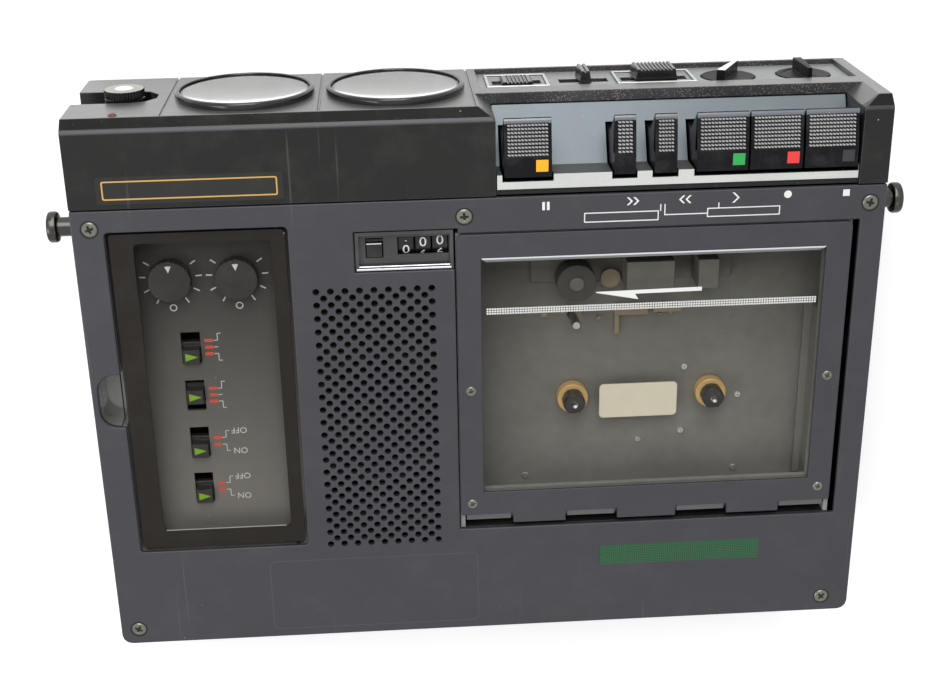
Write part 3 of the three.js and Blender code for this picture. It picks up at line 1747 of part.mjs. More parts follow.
function circuitBoard() {
  const x = [doorRight + board.leftGap, innerRight - board.rightGap];
  const y = [board.front, board.front + board.length];
  const z = [floorTop + board.lift, floorTop + board.lift + board.thickness];
  const legs = grown(x, -board.legInset).flatMap((legX) =>
    grown(y, -board.legInset).map((legY) =>
      rod("z", [legX, legY], board.legRadius, floorTop, z[0] + fit.weld, sides.coarse),
    ),
  );
  const capacitors = [0, 1, 2].map((count) =>
    rod(
      "z",
      [x[0] + board.legInset + (count + 1) * capacitor.pitch, y[0] + 2 * board.legInset],
      capacitor.radius,
      z[1] - fit.weld,
      z[1] + capacitor.height,
      sides.coarse,
    ),
  );
  const chips = [0, 1, 2].map((count) => {
    const start = y[0] + (count + 1) * chip.pitch - chip.depth / 2;
    return block(
      [x[0] + board.legInset, x[0] + board.legInset + chip.length],
      [start, start + chip.depth],
      [z[1] - fit.weld, z[1] + chip.height],
    );
  });
  return joined([block(x, y, z), ...legs, ...capacitors, ...chips]);
}

// A row of sockets on one bracket behind a side wall. Side is 1 on the right and -1 on the left.
function socketRow(side, ys, bores, length) {
  const wallFace = side * right;
  const inside = side * (innerRight - fit.gap);
  const sorted = (a, b) => [Math.min(a, b), Math.max(a, b)];
  const bracketX = sorted(inside, inside - side * socket.bracket);
  const bracket = block(
    bracketX,
    [Math.min(...ys) - socket.bracketEnd, Math.max(...ys) + socket.bracketEnd],
    around(socketZ, socket.bracketHalf),
  );
  const barrels = ys.map((y) => {
    const face = sorted(wallFace, wallFace + side * socket.nutProud);
    const whole = sorted(wallFace + side * socket.nutProud, wallFace - side * length);
    return joined([
      rod("x", [y, socketZ], socket.barrelRadius, whole[0], whole[1]),
      rod("x", [y, socketZ], socket.nutRadius, face[0], face[1], sides.hexagon),
    ]);
  });
  const holes = ys.map((y, count) => {
    const reach = sorted(
      wallFace + side * (socket.nutProud + past),
      wallFace - side * (length - socket.endWall),
    );
    return rod("x", [y, socketZ], bores[count], reach[0], reach[1], sides.coarse);
  });
  return cut(joined([bracket, ...barrels]), holes);
}

function lineSockets() {
  const bores = lineYs.map((_, count) => (count === 0 ? socket.phoneBore : socket.lineBore));
  const row = socketRow(1, lineYs, bores, socket.length);
  const pins = lineYs.slice(1).map((y) =>
    rod(
      "x",
      [y, socketZ],
      socket.pinRadius,
      right - socket.length + socket.endWall - fit.weld,
      right - socket.nutProud,
      sides.coarse,
    ),
  );
  return joined([row, ...pins]);
}

function strapStud(side) {
  const root = innerRight - right;
  const shaftEnd = stud.shaftLength;
  const headEnd = shaftEnd + stud.headLength;
  const profile = [
    [0, root],
    [stud.rootRadius, root],
    [stud.rootRadius, 0],
    [stud.washerRadius, 0],
    [stud.washerRadius, stud.washer],
    [stud.shaftRadius, stud.washer],
    [stud.shaftRadius, shaftEnd],
    [stud.headRadius - stud.headRound, shaftEnd],
    [stud.headRadius, shaftEnd + stud.headRound],
    [stud.headRadius, headEnd - stud.headRound],
    [stud.headRadius - stud.headRound, headEnd],
    [0, headEnd],
  ].map(([radius, height]) => [radius, side * (right + height)]);
  return turned(profile, "x", [stud.setback, -stud.drop]);
}

place("speaker", loudspeaker(), finishes.darkSteel);
place("circuit_board", circuitBoard(), finishes.board);
place(
  "mic_sockets",
  socketRow(-1, micYs, micYs.map(() => socket.phoneBore), socket.length),
  finishes.steel,
);
place("line_sockets", lineSockets(), finishes.steel);
place("strap_stud_right", strapStud(1), finishes.darkSteel);
place("strap_stud_left", strapStud(-1), finishes.darkSteel);

export default recorder;
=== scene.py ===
"""Looks of a portable cassette recorder: finishes, fine detail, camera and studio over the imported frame."""

import logging
import math
from collections.abc import Callable, Iterable, Sequence
from dataclasses import dataclass, field
from enum import Enum
from typing import ClassVar

import bmesh
import bpy
from mathutils import Matrix, Vector


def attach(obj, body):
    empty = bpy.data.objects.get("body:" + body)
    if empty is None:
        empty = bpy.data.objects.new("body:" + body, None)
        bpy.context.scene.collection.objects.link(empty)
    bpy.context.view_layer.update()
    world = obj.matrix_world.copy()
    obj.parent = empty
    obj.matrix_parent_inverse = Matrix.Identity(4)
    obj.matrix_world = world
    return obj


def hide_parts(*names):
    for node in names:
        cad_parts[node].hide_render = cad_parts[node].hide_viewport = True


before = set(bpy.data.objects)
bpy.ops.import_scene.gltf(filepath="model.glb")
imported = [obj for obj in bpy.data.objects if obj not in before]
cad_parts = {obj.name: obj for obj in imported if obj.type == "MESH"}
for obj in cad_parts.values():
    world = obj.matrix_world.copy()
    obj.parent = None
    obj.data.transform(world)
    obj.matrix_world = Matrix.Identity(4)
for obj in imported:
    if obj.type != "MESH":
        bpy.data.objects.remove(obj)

logging.basicConfig(level=logging.INFO, format="%(message)s")
LOG = logging.getLogger("recorder")

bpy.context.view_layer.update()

MM = 0.001
DATUM = Vector((0.0, -56.75, 51.2))

Point2 = tuple[float, float]
Range = tuple[float, float]
Outline = Sequence[Point2]
Colour = tuple[float, float, float]
Row = list[bmesh.types.BMVert]
FaceTest = Callable[[Vector, Vector], bool]


class Axis(Enum):
    """A direction that an outline is pushed along or turned about."""

    X = 0
    Y = 1
    Z = 2


def rgb(red: int, green: int, blue: int) -> Colour:
    """Turns a display colour of 0 to 255 into the linear colour that the shaders use.

    Args:
        red: Red on the display scale.
        green: Green on the display scale.
        blue: Blue on the display scale.

    Returns:
        The linear colour.
    """

    def linear(value: int) -> float:
        """One channel made linear."""
        share = value / 255
        return share / 12.92 if share <= 0.04045 else ((share + 0.055) / 1.055) ** 2.4

    return (linear(red), linear(green), linear(blue))


def place(axis: Axis, first: float, second: float, along: float) -> Vector:
    """Puts a point of an outline into space: (y, z) for X, (x, z) for Y and (x, y) for Z.

    Args:
        axis: The direction that the outline is pushed along.
        first: The outline's first coordinate.
        second: The outline's second coordinate.
        along: The coordinate along the axis.

    Returns:
        The point in datum millimetres.
    """
    if axis is Axis.X:
        return Vector((along, first, second))
    if axis is Axis.Y:
        return Vector((first, along, second))
    return Vector((first, second, along))


def arc(centre: Point2, radius: float, start: float, end: float, steps: int) -> list[Point2]:
    """Points on an arc, angles in degrees from the first coordinate towards the second."""
    angles = [math.radians(start + (end - start) * step / steps) for step in range(steps + 1)]
    return [(centre[0] + radius * math.cos(a), centre[1] + radius * math.sin(a)) for a in angles]


def rounded(first: Range, second: Range, radius: float, steps: int = 6) -> list[Point2]:
    """A rectangle with round corners.

    Args:
        first: The range of the first coordinate.
        second: The range of the second coordinate.
        radius: The corner radius.
        steps: The number of chords in each corner.

    Returns:
        The outline.
    """
    points: list[Point2] = []
    corners = ((1, 1, 0), (0, 1, 90), (0, 0, 180), (1, 0, 270))
    for side, end, angle in corners:
        centre = (
            first[side] + (radius if side == 0 else -radius),
            second[end] + (radius if end == 0 else -radius),
        )
        points += arc(centre, radius, angle, angle + 90, steps)
    return points


def circle(centre: Point2, radius: float, steps: int) -> list[Point2]:
    """Points all round a circle."""
    return arc(centre, radius, 0, 360, steps)[:steps]


def middle(centre: float, half: float) -> Range:
    """A range of twice half about a centre."""
    return (centre - half, centre + half)


def shrunk(span: Range, by: float) -> Range:
    """A range drawn in at both ends, or widened where the amount is negative."""
    return (span[0] + by, span[1] - by)


def within(value: float, span: Range) -> bool:
    """Says if a value lies between the ends of a range."""
    return span[0] < value < span[1]


def spoke(centre: Point2, degrees: float, reach: Range, half: float) -> list[Point2]:
    """A narrow bar that points away from a centre.

    Args:
        centre: The centre.
        degrees: Its direction.
        reach: Where it starts and ends, from the centre.
        half: Half its width.

    Returns:
        The outline.
    """
    along = (math.cos(math.radians(degrees)), math.sin(math.radians(degrees)))
    corners = ((reach[0], half), (reach[1], half), (reach[1], -half), (reach[0], -half))
    return [
        (centre[0] + far * along[0] - side * along[1], centre[1] + far * along[1] + side * along[0])
        for far, side in corners
    ]


def linked(name: str, data: bpy.types.ID) -> bpy.types.Object:
    """Makes an object of a mesh, curve, camera or lamp and links it to the scene.

    Args:
        name: The object's name.
        data: What it holds.

    Returns:
        The object.
    """
    made = bpy.data.objects.new(name, data)
    bpy.context.scene.collection.objects.link(made)
    return made


def evaluated_mesh(made: bpy.types.Object) -> bpy.types.Mesh:
    """Makes a plain mesh of an object as its modifiers leave it."""
    bpy.context.view_layer.update()
    return bpy.data.meshes.new_from_object(made.evaluated_get(bpy.context.evaluated_depsgraph_get()))


def run_tree(made: bpy.types.Object, tree: bpy.types.NodeTree, values: dict[str, object]) -> bpy.types.Mesh:
    """Runs a Geometry Nodes tree on an object and takes the modifier off again.

    Args:
        made: The object.
        tree: The tree.
        values: Inputs by name. The others keep their defaults.

    Returns:
        The mesh that the tree makes.
    """
    modifier = made.modifiers.new("shape by rule", "NODES")
    modifier.node_group = tree
    for item in tree.interface.items_tree:
        if item.in_out == "INPUT" and item.name in values:
            modifier[item.identifier] = values[item.name]
    result = evaluated_mesh(made)
    made.modifiers.remove(modifier)
    return result


class Nodes:
    """A small helper that adds and joins nodes in one tree."""

    def __init__(self, tree: bpy.types.NodeTree) -> None:
        """Starts on a tree."""
        self.tree = tree

    @classmethod
    def of(cls, block: bpy.types.Material | bpy.types.World) -> "Nodes":
        """Empties the tree of a material or world and starts on it.

        Args:
            block: The material or world.

        Returns:
            The helper on its tree.
        """
        block.use_nodes = True
        block.node_tree.nodes.clear()
        return cls(block.node_tree)

    def add(self, kind: str, *values: object, **inputs: object) -> bpy.types.Node:
        """Adds a node.

        Args:
            kind: Blender's type name of the node.
            values: Values or sockets for the first inputs, in order.
            inputs: Values or sockets for inputs by name, with underscores for spaces. Names that the
                node has as a property set that property.

        Returns:
            The node.
        """
        node = self.tree.nodes.new(kind)
        for name, value in inputs.items():
            if hasattr(node, name) and name not in node.inputs:
                setattr(node, name, value)
        for socket, value in zip(node.inputs, values):
            self.feed(socket, value)
        for name, value in inputs.items():
            socket = node.inputs.get(name.replace("_", " "))
            if socket is not None:
                self.feed(socket, value)
        return node

    def feed(self, socket: bpy.types.NodeSocket, value: object) -> None:
        """Joins a socket to another, or sets its value.

        Args:
            socket: The input.
            value: An output socket, a number, a colour or a vector.
        """
        if isinstance(value, bpy.types.NodeSocket):
            self.tree.links.new(value, socket)
        elif isinstance(value, (tuple, list)) and len(value) == 3 and socket.type == "RGBA":
            socket.default_value = (*value, 1.0)
        else:
            socket.default_value = value

    def math(self, operation: str, first: object, second: object = 0.0) -> bpy.types.NodeSocket:
        """Adds a math node on values or sockets and returns its output socket."""
        return self.add("ShaderNodeMath", first, second, operation=operation).outputs[0]

    def mix(self, factor: object, first: object, second: object) -> bpy.types.NodeSocket:
        """Adds a colour mix and returns its result.

        Args:
            factor: The share of the second colour.
            first: The first colour or socket.
            second: The second colour or socket.

        Returns:
            The output socket.
        """
        node = self.add("ShaderNodeMix", factor, data_type="RGBA")
        self.feed(node.inputs[6], first)
        self.feed(node.inputs[7], second)
        return node.outputs[2]

    def ramp(self, value: object, low: object, high: object) -> bpy.types.NodeSocket:
        """Maps a value or socket from low to high onto 0 to 1, held between them."""
        return self.add("ShaderNodeMapRange", value, low, high).outputs["Result"]


def group(kind: str, name: str, inputs: dict[str, object], outputs: dict[str, str]) -> Nodes:
    """Makes an empty node group with named sockets.

    Args:
        kind: Blender's type name of the tree.
        name: The group's name.
        inputs: Each input's name with its default, or with the name of its type where it has none.
        outputs: Each output's name with the name of its type.

    Returns:
        The helper that adds nodes to the group.
    """
    tree = bpy.data.node_groups.new(name, kind)
    types = {int: "Int", float: "Float", tuple: "Color"}
    for way, sockets in (("INPUT", inputs), ("OUTPUT", outputs)):
        for label, value in sockets.items():
            bare = isinstance(value, str)
            socket_type = "NodeSocket" + (value if bare else types[type(value)])
            socket = tree.interface.new_socket(label, in_out=way, socket_type=socket_type)
            if not bare:
                socket.default_value = (*value, 1.0) if isinstance(value, tuple) else value
    return Nodes(tree)


def worn_surface() -> bpy.types.NodeTree:
    """Builds the shared effect of moulding grain, dust specks, smudges and fine scratches.

    Returns:
        The shader node group.
    """
    nodes = group(
        "ShaderNodeTree",
        "worn surface",
        {
            "Place": "Vector",
            "Colour": (0.1, 0.1, 0.1),
            "Dust Colour": (0.35, 0.34, 0.32),
            "Roughness": 0.5,
            "Mottle": 0.08,
            "Grain Scale": 3000.0,
            "Grain": 0.3,
            "Dust": 0.2,
            "Scratches": 0.1,
            "Speck Scale": 520.0,
            "Speck Size": 0.14,
            "Speck Share": 0.14,
            "Speck Start": 0.4,
        },
        {"Colour": "Color", "Roughness": "Float", "Height": "Float"},
    )
    entry = nodes.add("NodeGroupInput").outputs
    where = entry["Place"]

    def times(first: object, second: object) -> bpy.types.NodeSocket:
        """The product of two values."""
        return nodes.math("MULTIPLY", first, second)

    def swing(value: object, amount: object) -> bpy.types.NodeSocket:
        """How far a value lies from a half, times an amount."""
        return times(nodes.math("SUBTRACT", value, 0.5), amount)

    def noise(scale: object, detail: float, roughness: float = 0.5) -> bpy.types.NodeSocket:
        """A noise on the surface's own coordinates."""
        made = nodes.add("ShaderNodeTexNoise", Vector=where, Scale=scale, Detail=detail, Roughness=roughness)
        return made.outputs["Fac"]

    cloud = noise(35.0, 4.0)
    smudge = noise(90.0, 6.0, 0.65)
    grain = noise(entry["Grain Scale"], 2.0)
    patches = noise(60.0, 3.0)
    shade = nodes.math("ADD", times(swing(cloud, entry["Mottle"]), 2.0), swing(grain, entry["Mottle"]))
    shade = nodes.math("ADD", shade, 1.0)
    toned = nodes.add("ShaderNodeVectorMath", entry["Colour"], operation="SCALE", Scale=shade)

    specks = nodes.add("ShaderNodeTexVoronoi", Vector=where, Scale=entry["Speck Scale"]).outputs
    speck_size = times(nodes.ramp(patches, entry["Speck Start"], 0.7), entry["Speck Size"])
    speck = nodes.math("LESS_THAN", specks["Distance"], speck_size)
    speck = times(speck, nodes.math("LESS_THAN", specks["Color"], entry["Speck Share"]))
    film = times(nodes.ramp(smudge, 0.5, 0.8), 0.18)
    dusty = nodes.math("MAXIMUM", times(speck, 0.75), times(film, entry["Dust"]))
    stretch = nodes.add("ShaderNodeMapping", where, Rotation=(0.3, 0.2, 0.9), Scale=(900.0, 18.0, 900.0))
    hair = nodes.add("ShaderNodeTexNoise", Vector=stretch.outputs[0], Scale=1.0, Detail=2.0).outputs["Fac"]
    scratch = times(nodes.ramp(hair, 0.7, 0.78), entry["Scratches"])
    marked = nodes.math("MAXIMUM", dusty, scratch)

    rough = nodes.math("ADD", entry["Roughness"], times(marked, 0.25))
    nodes.add(
        "NodeGroupOutput",
        Colour=nodes.mix(marked, toned.outputs[0], entry["Dust Colour"]),
        Roughness=nodes.math("ADD", rough, swing(smudge, 0.12)),
        Height=nodes.math("SUBTRACT", times(grain, entry["Grain"]), times(scratch, 0.5)),
    )
    return nodes.tree


WORN = worn_surface()


@dataclass(frozen=True)
class Finish:
    """An opaque finish with grain, dust and small scratches on the object's own coordinates, and optionally a
    painted shade gradient from front to rear.
    """

    name: str
    colour: Colour
    roughness: float = 0.5
    metallic: float = 0.0
    specular: float = 0.5
    mottle: float = 0.1
    grain_scale: float = 2500.0
    grain: float = 0.3
    bump: float = 0.02
    dust: float = 0.2
    scratches: float = 0.1
    coat: float = 0.0
    coat_roughness: float = 0.08
    dust_colour: Colour = (0.40, 0.39, 0.36)
    speck_scale: float = 520.0
    speck_size: float = 0.14
    speck_share: float = 0.14
    speck_start: float = 0.4
    front_colour: Colour | None = None
    fade: Range = (0.0, 1.0)

    def material(self) -> bpy.types.Material:
        """Builds the material once and returns it.

        Returns:
            The material.
        """
        if self.name in bpy.data.materials:
            return bpy.data.materials[self.name]
        made = bpy.data.materials.new(self.name)
        nodes = Nodes.of(made)
        where = nodes.add("ShaderNodeTexCoord").outputs["Object"]
        worn = nodes.add("ShaderNodeGroup", where, node_tree=WORN)
        for socket in worn.inputs[1:]:
            nodes.feed(socket, getattr(self, socket.name.lower().replace(" ", "_")))
        # Painted light and shade: the colour ramps from the darker front colour to the rear colour across the
        # fade range.
        if self.front_colour is not None:
            depth = nodes.add("ShaderNodeSeparateXYZ", where).outputs["Y"]
            rear = nodes.ramp(depth, *[(edge + DATUM.y) * MM for edge in self.fade])
            nodes.feed(worn.inputs["Colour"], nodes.mix(rear, self.front_colour, self.colour))
        height = worn.outputs["Height"]
        bump = nodes.add("ShaderNodeBump", Strength=0.6, Distance=self.bump * MM, Height=height)
        shader = nodes.add(
            "ShaderNodeBsdfPrincipled",
            Base_Color=worn.outputs["Colour"],
            Metallic=self.metallic,
            Roughness=worn.outputs["Roughness"],
            Specular_IOR_Level=self.specular,
            Coat_Weight=self.coat,
            Coat_Roughness=self.coat_roughness,
            Normal=bump.outputs["Normal"],
        )
        nodes.add("ShaderNodeOutputMaterial", Surface=shader.outputs[0])
        return made


@dataclass(frozen=True)
class ClearFinish:
    """Clear or smoked acrylic. Light and shadow rays pass it straight, with its tint."""

    name: str
    tint: Colour
    ior: float

    def material(self) -> bpy.types.Material:
        """Builds the material once and returns it.

        Returns:
            The material.
        """
        if self.name in bpy.data.materials:
            return bpy.data.materials[self.name]
        made = bpy.data.materials.new(self.name)
        nodes = Nodes.of(made)
        shader = nodes.add(
            "ShaderNodeBsdfPrincipled",
            Base_Color=self.tint,
            Roughness=0.0,
            IOR=self.ior,
            Transmission_Weight=1.0,
        )
        through = nodes.add("ShaderNodeBsdfTransparent", Color=self.tint)
        path = nodes.add("ShaderNodeLightPath").outputs
        seen = nodes.math("MAXIMUM", path["Is Camera Ray"], path["Is Transmission Ray"])
        mixed = nodes.add("ShaderNodeMixShader", seen, through.outputs[0], shader.outputs[0])
        nodes.add("ShaderNodeOutputMaterial", Surface=mixed.outputs[0])
        return made


class Finishes:
    """The recorder's finishes, some with painted light and shade."""

    SLATE = Finish(
        "slate paint", (0.027, 0.0265, 0.0345), 0.5, specular=0.5, mottle=0.14, grain=0.5, dust=0.2,
    )
    BAR = Finish(
        "satin black moulding", (0.0115, 0.0115, 0.011), 0.34, specular=0.24, mottle=0.15, dust=0.2,
    )
    PANEL = Finish(
        "black front moulding", (0.042, 0.041, 0.039), 0.38, specular=0.8, bump=0.008, dust=0.1,
        coat=0.6, coat_roughness=0.25,
    )
    LEDGE = Finish(
        "dusty black ledge", (0.031, 0.0305, 0.034), 0.45, specular=0.4, dust=0.6,
        dust_colour=(0.22, 0.215, 0.205), speck_scale=1900.0, speck_size=0.42, speck_share=0.6,
        speck_start=0.05,
    )
    DIAL = Finish(
        "dusty black dial", (0.006, 0.006, 0.0065), 0.4, specular=0.1, dust=0.3, speck_scale=1100.0,
        speck_size=0.26, speck_share=0.3, speck_start=0.15,
    )
    # Darker, duller copy of the bar moulding for the chamfer: painted shade.
    BAR_SLOPE = Finish(
        "satin black slope with painted shade", (0.0085, 0.0085, 0.008), 0.6, specular=0.1, mottle=0.15, dust=0.2,
    )
    # Lighter, glossier copy of the bar moulding for its rounded edges: a painted highlight line.
    BAR_EDGE = Finish("moulding edge with painted highlight", (0.022, 0.023, 0.026), 0.32, specular=0.38, dust=0.1)
    # The scoop's light grey is painted reflection; the case moulding around it is near black.
    NOTCH = Finish(
        "glossy finger scoop", (0.10, 0.098, 0.09), 0.12, specular=1.0, mottle=0.5, dust=0.5,
        bump=0.004,
    )
    CONTROL = Finish("grey control panel", rgb(140, 144, 143), 0.4, metallic=0.35, bump=0.01, dust=0.2)
    KNOB_TOP = Finish("spun knob face", rgb(146, 144, 138), 0.35, metallic=0.2, mottle=0.5, dust=0.2)
    CASE = Finish(
        "black case moulding", (0.011, 0.011, 0.0105), 0.45, specular=0.3, mottle=0.15, bump=0.04,
        grain_scale=1400.0,
    )
    BAY = Finish(
        "blue grey satin metal", rgb(95, 103, 107), 0.38, metallic=0.5, bump=0.01,
        dust_colour=rgb(205, 205, 198),
    )
    BAY_WALL = Finish("shaded bay wall", (0.055, 0.056, 0.056), 0.5, mottle=0.12, dust=0.2)
    RAIL = Finish(
        "pale satin rail", rgb(198, 201, 197), 0.35, metallic=0.6, mottle=0.16, grain_scale=1800.0,
        dust=0.12,
    )
    KEY = Finish(
        "black key plastic", (0.006, 0.006, 0.008), 0.32, specular=0.11, bump=0.004, dust=0.4,
        speck_scale=900.0, speck_size=0.2,
    )
    # Light blue grey on the black key's nose top: a painted highlight of the sky on its rounded front.
    KEY_NOSE = Finish("bright key nose", (0.10, 0.105, 0.13), 0.24, specular=0.9, bump=0.004, dust=0.1)
    # The knurl's light grey is a painted glint of the bright facets on the black key, not the plastic's own
    # colour.
    KNURL = Finish(
        "worn key knurl", (0.36, 0.36, 0.355), 0.3, specular=0.8, mottle=0.3, bump=0.004, dust=0.1,
    )
    KEY_YELLOW = Finish("yellow key insert", rgb(250, 176, 22), 0.4, mottle=0.05, dust=0.05)
    KEY_GREEN = Finish("green key insert", rgb(38, 160, 74), 0.4, mottle=0.05, dust=0.05)
    KEY_RED = Finish("red key insert", rgb(224, 56, 54), 0.4, mottle=0.05, dust=0.05)
    KEY_DARK = Finish("dark key insert", rgb(40, 40, 46), 0.3, mottle=0.05, dust=0.1)
    KNOB = Finish("black knob plastic", (0.0065, 0.0065, 0.007), 0.24, specular=0.4, dust=0.25)
    # Lightened black: painted veil of the smoked panes' reflection, for knobs and caps seen through them.
    HAZED = Finish("knob plastic under painted pane veil", (0.036, 0.0355, 0.036), 0.36, specular=0.4, dust=0.4)
    # Light grey on the slide knobs' front faces: painted highlight on the black ribs.
    GRIP = Finish("black grip with painted highlight", (0.16, 0.156, 0.15), 0.35, specular=0.6, dust=0.2)
    CHROME = Finish(
        "dark chrome", rgb(74, 72, 70), 0.22, metallic=1.0, mottle=0.08, bump=0.004, dust=0.15,
    )
    SILVER = Finish(
        "bright silver", rgb(214, 216, 222), 0.22, metallic=1.0, mottle=0.06, bump=0.004, dust=0.05,
    )
    SCREW = Finish(
        "zinc screw", rgb(112, 113, 104), 0.34, metallic=0.9, mottle=0.3, bump=0.01, dust=0.3,
    )
    STEEL = Finish("ground steel", rgb(168, 168, 164), 0.3, metallic=1.0, mottle=0.1, dust=0.1)
    HINGE = Finish("grey hinge steel", rgb(92, 92, 94), 0.4, metallic=0.7, mottle=0.1)
    # Light grey for the dark deck: painted veil of the smoked pane's reflection, ramping darker towards the
    # front.
    DECK = Finish(
        "deck plate with painted veil and shade", (0.26, 0.256, 0.242), 0.6, specular=0.3, mottle=0.25, grain_scale=260.0,
        bump=0.0, dust=0.3, front_colour=(0.155, 0.151, 0.138), fade=(30.0, 92.0),
    )
    COPPER = Finish("copper toned collar", rgb(222, 186, 128), 0.45, metallic=0.2, dust=0.1)
    CREAM = Finish(
        "cream plastic", rgb(236, 229, 208), 0.5, mottle=0.1, grain_scale=300.0, bump=0.0, dust=0.1,
    )
    COLLAR = Finish(
        "aged cream plastic", rgb(140, 130, 108), 0.5, grain_scale=300.0, bump=0.0, dust=0.2,
    )
    RUBBER = Finish("pinch rubber", (0.085, 0.084, 0.08), 0.8, specular=0.2)
    BELT = Finish("belt rubber", (0.010, 0.010, 0.010), 0.7, specular=0.2)
    BOARD = Finish("circuit board", rgb(78, 106, 60), 0.5)
    CONE = Finish("speaker cone", (0.02, 0.02, 0.019), 0.8, specular=0.2, mottle=0.3)
    BORDER = Finish(
        "brown black lid border", (0.022, 0.019, 0.0165), 0.5, specular=0.3, grain_scale=220.0,
        bump=0.0, dust=0.2,
    )
    HOUSING = Finish(
        "worn counter frame", (0.034, 0.032, 0.033), 0.4, specular=0.5, mottle=0.3, dust=0.5,
    )
    # Light grey for the dark tray: painted veil of the lid's reflection, with painted shade darker towards
    # the front.
    TRAY = Finish(
        "tray with painted veil and shade", (0.25, 0.246, 0.234), 0.6, specular=0.25, grain_scale=220.0, bump=0.0, dust=0.15,
        front_colour=(0.062, 0.061, 0.06), fade=(24.0, 102.0),
    )
    PRINT = Finish(
        "white print", rgb(226, 226, 224), 0.5, mottle=0.1, grain=0.1, dust=0.0, scratches=0.0,
    )
    FAINT = Finish("faint print", (0.052, 0.051, 0.062), 0.5, mottle=0.1, dust=0.0, scratches=0.0)
    PRINT_RED = Finish("red print", rgb(222, 92, 70), 0.5, mottle=0.1, dust=0.0, scratches=0.0)
    PRINT_LIME = Finish("lime print", rgb(132, 186, 46), 0.5, mottle=0.1, dust=0.0, scratches=0.0)
    PRINT_GREEN = Finish("green label print", rgb(26, 84, 50), 0.5, mottle=0.1, dust=0.0, scratches=0.0)
    GOLD = Finish("gold print", rgb(206, 164, 88), 0.35, metallic=0.6, mottle=0.1, dust=0.05)
    BADGE = Finish("glossy black badge", (0.008, 0.0075, 0.0065), 0.12, specular=0.5, dust=0.08)
    LAMP = Finish("red lamp lens", rgb(92, 22, 24), 0.15, specular=0.6, dust=0.0)
    # The pale face is partly the dial's own colour and partly painted reflection of the lens.
    METER = Finish("meter face", rgb(206, 205, 199), 0.55, mottle=0.05, dust=0.03)
    METER_RING = Finish(
        "glossy meter ring", (0.009, 0.009, 0.0095), 0.14, specular=0.5, dust=0.08, bump=0.004,
    )
    NEEDLE = Finish("needle black", (0.012, 0.011, 0.011), 0.4)
    SMOKE = ClearFinish("smoked pane", (0.86, 0.855, 0.84), 1.03)
    LID = ClearFinish("smoked lid", (0.84, 0.83, 0.815), 1.03)
    LENS = ClearFinish("meter lens", (0.97, 0.97, 0.965), 1.3)


